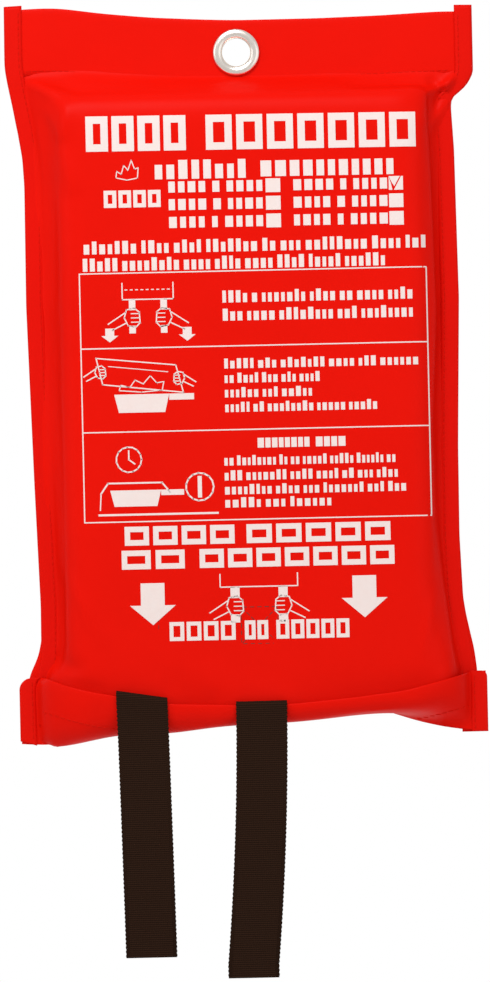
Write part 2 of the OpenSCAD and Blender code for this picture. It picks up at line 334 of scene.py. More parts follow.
def black_webbing(name):
    """Flat woven tape: crosswise ribs, each made of many short floats."""
    shader = Shader(name, Roughness=0.82, Specular_IOR_Level=0.06)
    u, v = shader.pattern("cloth")
    rib = (v * (2 * math.pi / RIB_PITCH)).sine() * 0.5 + 0.5
    ends = (u * (2 * math.pi / FLOAT_PITCH)).sine() * 0.5 + 0.5
    height = rib * 0.75 + ends * 0.25
    fuzz = shader.noise(1500.0, 3.0)
    base = colours().webbing
    # Colour follows the rib and float height: painted shade, darker in the hollows and lighter on
    # the tops; the fuzz adds random tone.
    tone = shader.blend(height * 0.75 + fuzz * 0.25, rgba(base, 0.45), rgba(base, 2.1))
    shader.feed("Base Color", tone)
    shader.feed("Roughness", fuzz * 0.15 + 0.72)
    ribs = shader.bump(height, 0.28 * MM, 0.9)
    shader.feed("Normal", shader.bump(fuzz, 0.05 * MM, 0.6, ribs))
    return shader.material


def black_thread(name):
    shader = Shader(name, Roughness=0.6)
    twist = shader.noise(2600.0, 2.0)
    base = colours().webbing
    shader.feed("Base Color", shader.blend(twist, rgba(base, 1.6), rgba(base, 3.2)))
    shader.feed("Normal", shader.bump(twist, 0.05 * MM))
    return shader.material


def glass_cloth(name):
    """Plain woven glass yarn, slightly shiny along the yarns."""
    shader = Shader(name, Roughness=0.62, Specular_IOR_Level=0.45, Sheen_Weight=0.15,
                    Sheen_Roughness=0.4)
    weave = weave_height(shader, GLASS_THREADS_PER_MM, "cloth")
    cloud = shader.noise(40.0, 4.0)
    base = colours().glass_cloth
    # Colour follows the weave's height: painted shade, darker where the yarns dip under each other;
    # the cloud adds random tone.
    tone = shader.blend(weave * 0.6 + cloud * 0.4, rgba(base, 0.84), rgba(base, 1.08))
    shader.feed("Base Color", tone)
    shader.feed("Roughness", weave * 0.16 + 0.52)
    shader.feed("Normal", shader.bump(weave, 0.16 * MM, 0.8,
                                      shader.bump(cloud, 0.8 * MM, 0.4)))
    return shader.material


# ---------------------------------------------------------------- outline of the pouch


def smoothed(points, reach):
    """A function through listed points in millimetres, with its corners rounded off."""
    levels = np.arange(-360.0, 131.0, 1.0)
    places, values = zip(*sorted(points))
    rough = np.interp(levels, places, values)
    window = np.hanning(2 * reach + 1)
    soft = np.convolve(np.pad(rough, reach, "edge"), window / window.sum(), "valid")
    return lambda z: np.interp(np.asarray(z) / MM, levels, soft) * MM


# How far each side seam stands out from the middle at each Z
LEFT_EDGE = smoothed([(30, 113.4), (-11, 113.8), (-18, 112.4), (-26, 110.4), (-36, 108.2),
                      (-50, 106.0), (-64, 105.3), (-123, 105.7), (-210, 103.6), (-270, 101.8),
                      (-294, 102.0), (-306, 104.0), (-318, 108.5), (-340, 111.5)], 5)
RIGHT_EDGE = smoothed([(30, 116.0), (-14, 116.0), (-19, 113.2), (-22.5, 109.6), (-25, 105.4),
                       (-29, 104.7), (-50, 105.8), (-123, 106.6), (-196, 104.6), (-240, 104.3),
                       (-270, 105.4), (-284, 107.0), (-297, 109.2), (-306, 110.8), (-318, 112.0),
                       (-340, 112.5)], 3)
# How far the header's top edge curls up where it hangs free of the hook
HEADER_CURL = smoothed([(-116, 7.4), (-96, 8.3), (-86, 8.0), (-66, 5.1), (-42, 2.6), (-17, 1.1),
                        (0, 0.4), (41, 0.5), (71, 1.2), (100, 2.5), (116, 2.2)], 10)
# Height of the lip's folded top edge at each X
lip_top_z = smoothed([(-116, -306.2), (-104, -306.4), (-98, -308.2), (-90, -310.8),
                      (-82, -313.0), (-66, -316.1), (-40, -320.3), (-6, -321.6), (20, -321.4),
                      (49, -319.0), (74, -316.2), (93, -311.6), (108, -307.8), (120, -307.4)], 6)


def header_lift(x, z):
    """How far a point of the header or just under it is lifted by that curl."""
    return HEADER_CURL(x) * np.clip((z / MM + 34.0) / 30.0, 0.0, 1.0)


def drop_share(x):
    """How much of the lip's sag or rise is reached at X: all in the middle, none at its ends."""
    return np.power(np.maximum(np.cos(math.pi / 2 * np.minimum(np.abs(x) / (112 * MM), 1)), 0), 1.3)


def lip_bottom_z(x):
    """Height of the lip's back seam, which rises to the right and dips near its left end."""
    right_rise = 1.5 * MM * np.clip(x / (95 * MM), 0, 1)
    right_rise = right_rise + 4 * MM * np.exp(-((x / MM - 60) / 20) ** 2)
    left_drop = 2.2 * MM * np.exp(-((x / MM + 98) / 11) ** 2)
    return LIP_SIDE_BOTTOM_Z + LIP_BOTTOM_RISE * drop_share(x) + right_rise - left_drop


# ---------------------------------------------------------------- mesh helpers


def deselect():
    if bpy.context.object and bpy.context.object.mode != "OBJECT":
        bpy.ops.object.mode_set(mode="OBJECT")
    bpy.ops.object.select_all(action="DESELECT")


def pick(piece):
    deselect()
    piece.select_set(True)
    bpy.context.view_layer.objects.active = piece
    return piece


def points_of(piece):
    co = np.empty(len(piece.data.vertices) * 3)
    piece.data.vertices.foreach_get("co", co)
    return co.reshape(-1, 3)


def move_points(piece, co):
    piece.data.vertices.foreach_set("co", np.asarray(co, float).ravel())
    piece.data.update()


def cloth_grid(name, columns, rows):
    """A flat grid of columns by rows of points, as (rows, columns) shares from 0 to 1."""
    deselect()
    bpy.ops.mesh.primitive_grid_add(x_subdivisions=columns - 1, y_subdivisions=rows - 1, size=1)
    piece = bpy.context.object
    piece.name = piece.data.name = name
    co = points_of(piece)
    return piece, co[:, 0] + 0.5, co[:, 1] + 0.5


def set_pattern(piece, across, along):
    """Stores each point's place on the flat cloth, in millimetres, as the UV map named cloth."""
    layer = piece.data.uv_layers.active or piece.data.uv_layers.new()
    layer.name = "cloth"
    index = np.empty(len(piece.data.loops), int)
    piece.data.loops.foreach_get("vertex_index", index)
    both = np.stack([np.asarray(across)[index], np.asarray(along)[index]], axis=1) / MM
    layer.data.foreach_set("uv", both.ravel())


def lay_cloth(name, shape, across, along):
    """A sheet through a (rows, columns, 3) array of points; across and along are its flat place."""
    rows, columns = shape.shape[:2]
    piece, u, v = cloth_grid(name, columns, rows)
    column = np.rint(u * (columns - 1)).astype(int)
    row = np.rint((1 - v) * (rows - 1)).astype(int)
    move_points(piece, shape[row, column])
    set_pattern(piece, across[row, column], along[row, column])
    return piece


def by_point(values):
    """A (rows, columns) array in the order of the grid's points, which start at its foot."""
    return values[::-1].reshape((-1,) + values.shape[2:])


def flat_places(shape):
    """Each point's place on the flat cloth: distance along its row and down its column."""
    across = np.zeros(shape.shape[:2])
    along = np.zeros(shape.shape[:2])
    across[:, 1:] = np.cumsum(np.linalg.norm(np.diff(shape, axis=1), axis=2), axis=1)
    along[1:, :] = np.cumsum(np.linalg.norm(np.diff(shape, axis=0), axis=2), axis=0)
    return across - across.max() / 2, along


def apply(piece, kind, **settings):
    pick(piece)
    modifier = piece.modifiers.new(kind.title(), kind)
    for name, value in settings.items():
        setattr(modifier, name, value)
    bpy.ops.object.modifier_apply(modifier=modifier.name)


def finish_piece(piece, look, body=None, replaces=(), smooth=None):
    """Gives a finished piece its material, shading and body, and hides the parts it replaces."""
    piece.data.materials.clear()
    piece.data.materials.append(look)
    pick(piece)
    if smooth is None:
        bpy.ops.object.shade_smooth()
    else:
        bpy.ops.object.shade_smooth_by_angle(angle=math.radians(smooth))
    if body:
        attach(piece, body)
    if replaces:
        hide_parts(*replaces)
    return piece


def thicken(piece, thickness, offset=-1.0, clamp=0.0):
    """Gives a sheet its thickness; offset -1 grows it behind the modelled side."""
    apply(piece, "SOLIDIFY", thickness=thickness, offset=offset, use_even_offset=True,
          use_quality_normals=True, thickness_clamp=clamp)


def smooth_once(piece):
    apply(piece, "SUBSURF", levels=1, render_levels=1)


def pierce(piece):
    """Punches the eyelet's hole through a piece of fabric."""
    deselect()
    bpy.ops.mesh.primitive_cylinder_add(vertices=48, radius=EYELET_HOLE_R, depth=60 * MM,
                                        rotation=(math.radians(90), 0, 0))
    punch = bpy.context.object
    bpy.ops.object.transform_apply(location=True, rotation=True, scale=True)
    apply(piece, "BOOLEAN", object=punch, operation="DIFFERENCE", solver="EXACT")
    bpy.data.objects.remove(punch)


def outward_sheet(piece, front):
    """Turns a sheet over if the face that lies furthest to the front looks backwards."""
    ahead = max(piece.data.polygons, key=lambda face: face.center.dot(front))
    if ahead.normal.dot(front) < 0:
        piece.data.flip_normals()


def tree_of(piece):
    piece.data.calc_loop_triangles()
    corners = [tuple(t.vertices) for t in piece.data.loop_triangles]
    return BVHTree.FromPolygons([v.co.copy() for v in piece.data.vertices], corners)


def by_length(outline, count):
    """Points evenly spaced along an outline of (a, b) pairs, and the outline's length."""
    outline = np.asarray(outline, float)
    run = np.concatenate([[0], np.cumsum(np.hypot(*np.diff(outline, axis=0).T))])
    places = np.linspace(0, run[-1], count)
    return np.stack([np.interp(places, run, outline[:, k]) for k in (0, 1)], axis=1), run[-1]


# ---------------------------------------------------------------- front panel


PANEL_FLAT_W = 229 * MM
SHOULDER_DROP = 28 * MM
SHOULDER_TOP = SEAM_Z - 2.4 * MM
# How far the panel's lower edge runs down behind the lip
PANEL_TUCK = 3 * MM
# Below this the panel's rows follow the curve of the lip's top edge
PANEL_FOLLOWS_LIP_Z = -250 * MM
# Below this the panel leans back, less at the tapes, which lie under it
PANEL_LEANS_Z = -295 * MM
TAPE_MIDDLES = [(low.x + high.x) / 2 for low, high in
                ((LEFT_TAPE_LOW, LEFT_TAPE_HIGH), (RIGHT_TAPE_LOW, RIGHT_TAPE_HIGH))]
SETTLE = {"frames": 45, "gravity": (0, 3, -4), "stiffness": 30}
SOFTEN_PASSES = 5


def shoulder(z, top, drop):
    """Share of the full depth at height z below the header seam: a quarter round."""
    climb = np.clip((top - z) / drop, 0, 1)
    return np.sqrt(np.clip(1 - (1 - climb) ** 2, 0, 1))


def panel_section(z):
    """The front panel's outline in X and Y at height z."""
    inset = sizes().binding_w
    left, right = -float(LEFT_EDGE(z)), float(RIGHT_EDGE(z))
    depth = FRONT_DEPTH * float(shoulder(z, SHOULDER_TOP, SHOULDER_DROP))
    left_round, right_round = 24 * MM, 11 * MM
    turn = np.linspace(0, math.pi / 2, 14)
    left_foot, right_foot = left + inset, right - inset
    crown = 0.8 * MM * depth / FRONT_DEPTH
    middle = np.linspace(left_foot + left_round, right_foot - right_round, 24)[1:-1]
    bow = np.sin(np.linspace(0, math.pi, 24))[1:-1]
    return ([(left, 0), (left + inset * 0.6, 0)]
            + [(left_foot + left_round * (1 - math.cos(a)), -depth * math.sin(a)) for a in turn]
            + [(x, -depth - crown * b) for x, b in zip(middle, bow)]
            + [(right_foot - right_round * (1 - math.cos(a)), -depth * math.sin(a))
               for a in turn[::-1]]
            + [(right - inset * 0.6, 0), (right, 0)])


def panel_levels(count):
    """Heights of the panel's rows, evenly spaced over its rounded middle, and its flat length."""
    low = LIP_SIDE_TOP_Z - LIP_TOP_DROP - PANEL_TUCK
    zs = np.linspace(FRONT_HIGH.z, low, 900)
    ys = -FRONT_DEPTH * shoulder(zs, SHOULDER_TOP, SHOULDER_DROP)
    spaced, length = by_length(np.stack([zs, ys], axis=1), count)
    return spaced[:, 0], length


def press_on_bundle(low, high):
    """A rounded block where the folded blanket lies, for the fabric to rest on."""
    deselect()
    bpy.ops.mesh.primitive_cube_add(size=1, location=(low + high) / 2, scale=high - low)
    block = bpy.context.object
    block.name = "press"
    bpy.ops.object.transform_apply(location=True, rotation=True, scale=True)
    apply(block, "BEVEL", width=7 * MM, segments=5)
    block.modifiers.new("Collision", "COLLISION")
    block.collision.thickness_outer = 0.4 * MM
    block.collision.cloth_friction = 12
    return block


def settle_cloth(piece, flat, pins, frames, gravity, stiffness):
    """Lets a sheet settle from its present shape towards its flat cut, held at its pins."""
    pick(piece)
    piece.shape_key_add(name="Shape")
    cut = piece.shape_key_add(name="Cut", from_mix=False)
    cut.data.foreach_set("co", np.asarray(flat, float).ravel())
    group = piece.vertex_groups.new(name="pins")
    for index, weight in enumerate(pins):
        if weight > 0:
            group.add([index], float(weight), "REPLACE")
    cloth = piece.modifiers.new("Cloth", "CLOTH")
    cloth.settings.quality = 10
    cloth.settings.mass = 0.35
    cloth.settings.tension_stiffness = stiffness
    cloth.settings.compression_stiffness = stiffness
    cloth.settings.shear_stiffness = stiffness / 2
    cloth.settings.bending_stiffness = 1.2
    cloth.settings.air_damping = 4
    cloth.settings.tension_damping = 12
    cloth.settings.compression_damping = 12
    cloth.settings.vertex_group_mass = "pins"
    cloth.settings.rest_shape_key = cut
    cloth.settings.effector_weights.gravity = 1.0
    cloth.collision_settings.distance_min = 0.8 * MM
    cloth.collision_settings.collision_quality = 3
    cloth.point_cache.frame_end = frames
    scene = bpy.context.scene
    scene.gravity = gravity
    for number in range(1, frames + 1):
        scene.frame_set(number)
    settled = piece.evaluated_get(bpy.context.evaluated_depsgraph_get())
    co = np.empty(len(piece.data.vertices) * 3)
    settled.data.vertices.foreach_get("co", co)
    piece.modifiers.remove(cloth)
    piece.shape_key_clear()
    piece.vertex_groups.clear()
    scene.frame_set(1)
    move_points(piece, co.reshape(-1, 3))


def front_panel_shape(columns, rows):
    """The panel before it settles: points, flat cut and how firmly each point is held."""
    levels, length = panel_levels(rows)
    shape = np.empty((rows, columns, 3))
    flat = np.empty((rows, columns, 3))
    held = np.zeros((rows, columns))
    for row, z in enumerate(levels):
        section, _ = by_length(panel_section(z), columns)
        shape[row, :, 0] = section[:, 0]
        shape[row, :, 1] = section[:, 1]
        shape[row, :, 2] = z
        flat[row, :, 0] = np.linspace(-0.5, 0.5, columns) * PANEL_FLAT_W
        flat[row, :, 1] = 0
        flat[row, :, 2] = -length * row / (rows - 1)
    shape[..., 1] = shape[..., 1] * (FRONT_DEPTH - PANEL_FACE_Y) / FRONT_DEPTH - PANEL_FACE_Y
    tucked = lip_top_z(shape[..., 0]) - PANEL_TUCK
    ratio = np.clip((levels[:, None] - PANEL_FOLLOWS_LIP_Z) / (levels[-1] - PANEL_FOLLOWS_LIP_Z),
                    0, 1)
    shape[..., 2] += ratio * (tucked - levels[-1])
    shape[..., 2] += header_lift(shape[..., 0], shape[..., 2])
    low_down = np.clip((PANEL_LEANS_Z - levels[:, None]) / (18 * MM), 0, 1)
    at_tapes = sum(np.exp(-((shape[..., 0] - middle) / (19 * MM)) ** 6)
                   for middle in TAPE_MIDDLES)
    lean = (2.0 - 1.5 * at_tapes) * MM * low_down ** 2
    shape[..., 1] += lean * np.clip(-shape[..., 1] / FRONT_DEPTH, 0, 1)
    margin = sizes().binding_w / PANEL_FLAT_W
    share = np.linspace(0, 1, columns)
    held[:, (share < margin) | (share > 1 - margin)] = 1
    held[levels > SEAM_Z, :] = 1
    held[-3:, :] = 1
    return shape, flat, held


# Soft ridges in the front panel, in millimetres: from (x, z) to (x, z), width, height forwards
CREASES = [((-104, -13), (-82, -21), 3.5, 1.8), ((-84, -22), (-88, -44), 4.0, 1.6),
           ((-88, -44), (-80, -70), 4.0, 1.0), ((-99, -30), (-97, -95), 2.5, 1.2),
           ((108, -12), (101, -24), 2.2, 3.2), ((94, -14), (103, -25), 2.2, -2.6),
           ((103, -24), (94, -42), 2.8, 2.8), ((-96, -150), (-98, -235), 3.0, 1.0),
           ((99, -60), (98, -170), 2.2, -1.0), ((-92, -250), (-70, -292), 3.5, 0.9),
           ((96, -255), (84, -300), 3.0, 0.8), ((-102, -294), (-80, -304), 4.5, -1.5)]


def soften(shape, held, passes):
    """Evens out a sheet's depth over a few rows and columns, leaving its held points."""
    shape = shape.copy()
    depth = shape[..., 1]
    for _ in range(passes):
        wide = np.pad(depth, 1, "edge")
        around = (wide[2:, 1:-1] + wide[:-2, 1:-1] + wide[1:-1, 2:] + wide[1:-1, :-2]) / 4
        depth = np.where(held > 0, depth, (depth + around) / 2)
    shape[..., 1] = depth
    return shape


def press_creases(co):
    """Moves points forwards or back along each ridge, fading out at its ends."""
    for (x0, z0), (x1, z1), width, height in CREASES:
        run = np.array([x1 - x0, z1 - z0], float)
        length = np.hypot(*run)
        run /= length
        dx = co[:, 0] / MM - x0
        dz = co[:, 2] / MM - z0
        along = (dx * run[0] + dz * run[1]) / length
        aside = dx * run[1] - dz * run[0]
        fade = np.clip(1 - (2 * along - 1) ** 2, 0, 1)
        co[:, 1] -= height * MM * fade * np.exp(-(aside / width) ** 2)
    return co


class FIREBLANKET_OT_front_panel(bpy.types.Operator):
    """Front of the pouch, settled over the folded blanket"""
    bl_idname = "fire_blanket.front_panel"
    bl_label = "Front panel"

    def execute(self, context):
        columns, rows = 61, 95
        shape, flat, held = front_panel_shape(columns, rows)
        piece = lay_cloth("front_panel_cloth", shape, flat[..., 0], flat[..., 2])
        spare_left, spare_right = Vector((2 * MM, 0, 0)), Vector((5 * MM, 0, 0))
        bundle = press_on_bundle(BUNDLE_LOW - spare_left, BUNDLE_HIGH + spare_right)
        settle_cloth(piece, by_point(flat), by_point(held), **SETTLE)
        bpy.data.objects.remove(bundle)
        settled = points_of(piece).reshape(rows, columns, 3)[::-1]
        move_points(piece, by_point(soften(settled, held, SOFTEN_PASSES)))
        smooth_once(piece)
        move_points(piece, press_creases(points_of(piece)))
        thicken(piece, sizes().fabric_t)
        pierce(piece)
        finish_piece(piece, material("red_fabric", red_fabric), "pouch",
                     ["front_panel"])
        float(-flat[-1, 0, 2])
        return {"FINISHED"}


# ---------------------------------------------------------------- back panel


def slack(x, z, reach):
    """Small unevenness of hanging fabric, from -1 to 1, over about that reach."""
    x, z = x / reach, z / reach
    return (np.sin(x * 1.7 + 0.6 * z) + np.sin(z * 1.3 - 0.9 * x + 1.1)
            + np.sin(2.9 * x + 1.9 * z + 2.3) * 0.6) / 2.6


class FIREBLANKET_OT_back_panel(bpy.types.Operator):
    """Plain back of the pouch, flat where it lies on the wall"""
    bl_idname = "fire_blanket.back_panel"
    bl_label = "Back panel"

    def execute(self, context):
        columns, rows = 81, 101
        share = np.linspace(0, 1, columns)[None, :]
        low = lip_bottom_z(0)
        levels = np.linspace(BACK_HIGH.z, low, rows)[:, None]
        left, right = -LEFT_EDGE(levels), RIGHT_EDGE(levels)
        x = left + (right - left) * share
        z = levels + header_lift(x, levels)
        near_foot = np.clip((LIP_SIDE_TOP_Z - levels) / (LIP_SIDE_TOP_Z - low), 0, 1)
        z = z + (lip_bottom_z(x) - low) * near_foot
        side = np.clip((97 * MM - np.abs(x)) / (7 * MM), 0, 1)
        top = np.clip((-17 * MM - levels) / (10 * MM), 0, 1)
        tray = side ** 2 * (3 - 2 * side) * top ** 2 * (3 - 2 * top)
        hollow = 0.35 * MM * (1 + slack(x, z, 24 * MM)) * tray
        y = PANEL_FACE_Y + (BACK_HIGH.y - PANEL_FACE_Y) * tray - hollow
        shape = np.stack([x, y, z], axis=2)
        piece = lay_cloth("back_panel_cloth", shape, *flat_places(shape))
        outward_sheet(piece, Vector((0, 1, 0)))
        thicken(piece, sizes().fabric_t)
        pierce(piece)
        finish_piece(piece, material("red_fabric", red_fabric), "pouch",
                     ["back_panel"])
        return {"FINISHED"}


# ---------------------------------------------------------------- header band and bindings


class FIREBLANKET_OT_header_band(bpy.types.Operator):
    """Band of the same fabric, folded over the top edge"""
    bl_idname = "fire_blanket.header_band"
    bl_label = "Header band"

    def execute(self, context):
        half = BAND_HIGH.x + 3 * MM
        face = 2 * PANEL_FACE_Y
        low, high = SEAM_Z - 1.6 * MM, BAND_HIGH.z
        front = [(-face, z) for z in np.linspace(low, high, 14)]
        fold = [(-face * math.cos(a), high + face * math.sin(a))
                for a in np.linspace(0, math.pi, 8)[1:-1]]
        back = [(face, z) for z in np.linspace(high, low, 14)]
        path = np.array(front + fold + back)
        x = np.linspace(-half, half, 91)[None, :]
        y = path[:, :1] + 0 * x
        z = path[:, 1:] + header_lift(x, path[:, 1:])
        rise = np.clip((high - path[:, 1:]) / (high - low), 0, 1)
        y = y + np.sign(path[:, :1]) * 0.22 * MM * slack(x, z, 14 * MM) * rise
        shape = np.stack([x + 0 * y, y, z], axis=2)
        piece = lay_cloth("header_band_cloth", shape, *flat_places(shape))
        outward_sheet(piece, Vector((0, -1, 0)))
        thicken(piece, 0.45 * MM)
        pierce(piece)
        finish_piece(piece, material("red_fabric", red_fabric), "pouch",
                     ["header_band"])
        return {"FINISHED"}


def folded_strip(name, inner, outer, half_t, levels, lift, middle_y=0.0):
    """A binding folded round an edge: inner and outer give its X at each level."""
    rows = []
    for z, x_in, x_out, half in zip(levels, inner, outer, half_t):
        side = math.copysign(1.0, x_out)
        turn_x = x_out - side * half
        front = [(x, -half) for x in np.linspace(x_in, turn_x, 6)]
        fold = [(turn_x + side * half * math.sin(a), -half * math.cos(a))
                for a in np.linspace(0, math.pi, 7)[1:-1]]
        back = [(x, half) for x in np.linspace(turn_x, x_in, 6)]
        rows.append([(x, y + middle_y, z) for x, y in front + fold + back])
    shape = np.array(rows)
    shape[..., 2] += lift(shape[..., 0], shape[..., 2])
    loose = 1 - np.clip(np.abs(shape[..., 0] - shape[:, :1, 0]) / (5 * MM), 0, 1)
    ripple = 0.16 * MM * slack(shape[..., 0], shape[..., 2], 7 * MM) * loose
    shape[..., 1] += np.sign(shape[..., 1] - middle_y) * ripple
    piece = lay_cloth(name, shape, *flat_places(shape))
    outward_sheet(piece, Vector((0, -1, 0)))
    thicken(piece, 0.45 * MM)
    finish_piece(piece, material("red_binding", red_binding))
    width = float(np.abs(outer - inner).mean() * 2)
    return piece


class FIREBLANKET_OT_side_bindings(bpy.types.Operator):
    """Folded bindings down both sides of the pouch"""
    bl_idname = "fire_blanket.side_bindings"
    bl_label = "Side bindings"

    def execute(self, context):
        for side, edge, node in ((-1, LEFT_EDGE, "left_side_binding"),
                                 (1, RIGHT_EDGE, "right_side_binding")):
            tip = 2.9 * MM if side < 0 else 4.2 * MM
            levels = np.linspace(BAND_HIGH.z + tip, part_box(node)[0].z, 181)
            outer = side * (edge(levels) + 0.5 * MM)
            inner = side * (edge(levels) - sizes().binding_w)
            thick = np.clip((levels - SEAM_Z + 10 * MM) / (8 * MM), 0, 1)
            half_t = (1.04 + 0.48 * thick) * MM
            piece = folded_strip(node + "_cloth", inner, outer, half_t, levels, header_lift)
            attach(piece, "pouch")
            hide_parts(node)
        return {"FINISHED"}


# ---------------------------------------------------------------- bottom lip


# Depth of the lip's turned hem, radius of its folded edge, and how far to the right of the
# middle the lip is sewn on
LIP_HEM = 17 * MM
LIP_FOLD_R = 0.6 * MM
LIP_SHIFT = 1.6 * MM
# Dents and swellings of the lip, in millimetres: x, share of the way up, width, share, height
LIP_DENTS = [(51, 0.60, 9, 0.08, -2.0), (57, 0.46, 8, 0.07, 1.8), (62, 0.72, 10, 0.06, 0.9),
             (-20, 0.60, 14, 0.14, 0.8), (80, 0.72, 7, 0.16, 0.7), (92, 0.60, 6, 0.2, -1.1),
             (-84, 0.66, 8, 0.2, 0.9), (-96, 0.55, 6, 0.2, -1.0), (-30, 0.80, 9, 0.12, -0.6),
             (28, 0.80, 12, 0.1, -0.5), (101, 0.8, 4, 0.2, 0.6), (-74, 0.88, 6, 0.1, -0.5)]
# Where the lip sags or is drawn up, in millimetres: depth, x, width
LIP_SAGS = [(13, -96, 30), (5, -45, 25), (-2.8, 60, 34)]
# The rounded top corner at each end of the lip: height of its top, width and depth
LIP_CORNERS = {-1: (float(lip_top_z(-108 * MM)) + 0.6 * MM, 6.2 * MM, 6.0 * MM),
               1: (float(lip_top_z(108 * MM)) + 1.0 * MM, 2.6 * MM, 3.2 * MM)}


def fall_off(x, start, run):
    """1 up to start from the middle, then a quarter round down to 0."""
    over = np.clip((np.abs(x) - start) / run, 0, 1)
    return np.sqrt(1 - over * over)


def lip_point(x, s):
    """Middle of the lip's fabric, from its back seam (s = 0) to its folded top edge (s = 1)."""
    bulge = fall_off(x, 80 * MM, 26 * MM)
    back = fall_off(x, 70 * MM, 23 * MM)
    drop = drop_share(x)
    front_y = LIP_SIDE_Y + (LIP_FRONT_Y - LIP_SIDE_Y) * bulge
    ys = [LIP_SIDE_Y + (LIP_BACK_Y - LIP_SIDE_Y) * back,
          LIP_SIDE_Y + (-2 * MM - LIP_SIDE_Y) * bulge, front_y, front_y]
    sag = sum(depth * np.exp(-((x / MM - place) / width) ** 2)
              for depth, place, width in LIP_SAGS) * MM
    sag = sag * np.clip((LIP_HALF_W - np.abs(x)) / (16 * MM), 0, 1)
    zs = [lip_bottom_z(x), (-327 - 3 * drop) * MM - sag, (-330 - 6 * drop) * MM - sag,
          lip_top_z(x)]
    weights = [(1 - s) ** 3, 3 * s * (1 - s) ** 2, 3 * s * s * (1 - s), s ** 3]
    y = sum(w * a for w, a in zip(weights, ys))
    z = sum(w * a for w, a in zip(weights, zs))
    for place, level, width, reach, height in LIP_DENTS:
        bump = np.exp(-((x / MM - place) / width) ** 2 - ((s - level) / reach) ** 2)
        y = y - height * MM * bump * bulge
    return y, z


def lip_offset(x, s, off):
    """The same point moved off the fabric's middle, outwards if positive."""
    y0, z0 = lip_point(x, np.maximum(s - 0.01, 0))
    y1, z1 = lip_point(x, np.minimum(s + 0.01, 1))
    run = np.hypot(y1 - y0, z1 - z0)
    y, z = lip_point(x, s)
    return y - off * (z1 - z0) / run, z + off * (y1 - y0) / run


def corner_inset(z, top, width, height):
    """How far a rounded top corner stands in from its side at height z."""
    share = np.clip(1 - (top - z) / height, 0, 1)
    return width * (1 - np.sqrt(1 - share ** 2))


def lip_shape(columns):
    """From the hem's raw edge inside, up over the fold, down the front and back to the seam."""
    half = sizes().fabric_t / 2
    x = np.linspace(-LIP_HALF_W, LIP_HALF_W, columns)
    rows = []
    for s in np.linspace(0.6, 0.99, 10):
        rows.append(lip_offset(x, s, half - 2 * LIP_FOLD_R))
    y_top, z_top = lip_point(x, 1.0)
    for a in np.linspace(0, math.pi, 8):
        rows.append((y_top - half + LIP_FOLD_R + LIP_FOLD_R * math.cos(a),
                     z_top + LIP_FOLD_R * math.sin(a)))
    for s in np.linspace(0.97, 0, 36):
        rows.append(lip_offset(x, s, half))
    y = np.array([row[0] for row in rows])
    z = np.array([row[1] for row in rows])
    top, width, height = LIP_CORNERS[-1]
    near_end = np.clip((-x - 88 * MM) / (LIP_HALF_W - 88 * MM), 0, 1)[None, :]
    x = x[None, :] + corner_inset(z, top, width, height) * near_end
    return np.stack([x + LIP_SHIFT, y, z], axis=2)


def with_lip(piece, *nodes):
    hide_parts(*nodes)
    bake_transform(piece)


class FIREBLANKET_OT_bottom_lip(bpy.types.Operator):
    """Folded lip that closes the mouth, with a short binding at each end"""
    bl_idname = "fire_blanket.bottom_lip"
    bl_label = "Bottom lip"

    def execute(self, context):
        shape = lip_shape(161)
        piece = lay_cloth("bottom_lip_cloth", shape, *flat_places(shape))
        outward_sheet(piece, Vector((0, -1, 0)))
        thicken(piece, sizes().fabric_t, clamp=2.0)
        finish_piece(piece, material("red_fabric", red_fabric))
        with_lip(piece, "bottom_lip")
        self.end_bindings()
        return {"FINISHED"}

    def end_bindings(self):
        for side, node in ((-1, "lip_left_binding"), (1, "lip_right_binding")):
            top, corner_w, corner_h = LIP_CORNERS[side]
            # How far its foot stands off the lip's back seam, and how much the foot slants
            low_end, slope = (1.6 * MM, 0.28) if side < 0 else (-0.4 * MM, 0.0)
            low = float(lip_bottom_z(side * LIP_HALF_W)) + low_end
            levels = np.concatenate([np.linspace(top, top - corner_h, 18),
                                     np.linspace(top - corner_h - 1 * MM, low, 30)])
            inset = corner_inset(levels, top, corner_w, corner_h)
            outer_x = LIP_HALF_W + 0.7 * MM - inset
            inner_x = LIP_HALF_W - sizes().binding_w + 0.9 * MM - 0.4 * inset
            half_t = 1.0 * MM + 0 * levels

            def slant(x, z):
                return -slope * (x + LIP_HALF_W) * (top - z) / (top - low)

            piece = folded_strip(node + "_cloth", side * inner_x + LIP_SHIFT,
                                 side * outer_x + LIP_SHIFT, half_t, levels, slant,
                                 LIP_SIDE_Y + 0.25 * MM)
            with_lip(piece, node)


# ---------------------------------------------------------------- pull tapes


# Where the middle of the webbing lies on the blanket's face, and where it hangs
SEWN_Y = (LEFT_SEWN_HIGH.y * 2 - 1.3 * MM) / 2
HANGING_Y = -24.5 * MM
# Each tape's corners, sewn end, sideways drift from top to foot and how late it comes, how
# much it is cut short, and how high it stands over the lip's fold
TAPES = {
    "left": {"low": LEFT_TAPE_LOW, "high": LEFT_TAPE_HIGH, "sewn": LEFT_SEWN_LOW,
             "sewn_top": LEFT_SEWN_HIGH.z, "drift": (-1.2 * MM, 1.0 * MM), "curve": 0.8,
             "short": 1.4 * MM, "over": 1.6 * MM},
    "right": {"low": RIGHT_TAPE_LOW, "high": RIGHT_TAPE_HIGH, "sewn": RIGHT_SEWN_LOW,
              "sewn_top": RIGHT_SEWN_HIGH.z, "drift": (1.4 * MM, -5.2 * MM), "curve": 1.9,
              "short": 0.4 * MM, "over": 0.2 * MM},
}


def arc(middle, radius, first, last, count):
    """Points in Y and Z on an arc; angles in degrees from +Y towards +Z."""
    angles = np.radians(np.linspace(first, last, count))
    return [(middle[0] + radius * math.cos(a), middle[1] + radius * math.sin(a)) for a in angles]


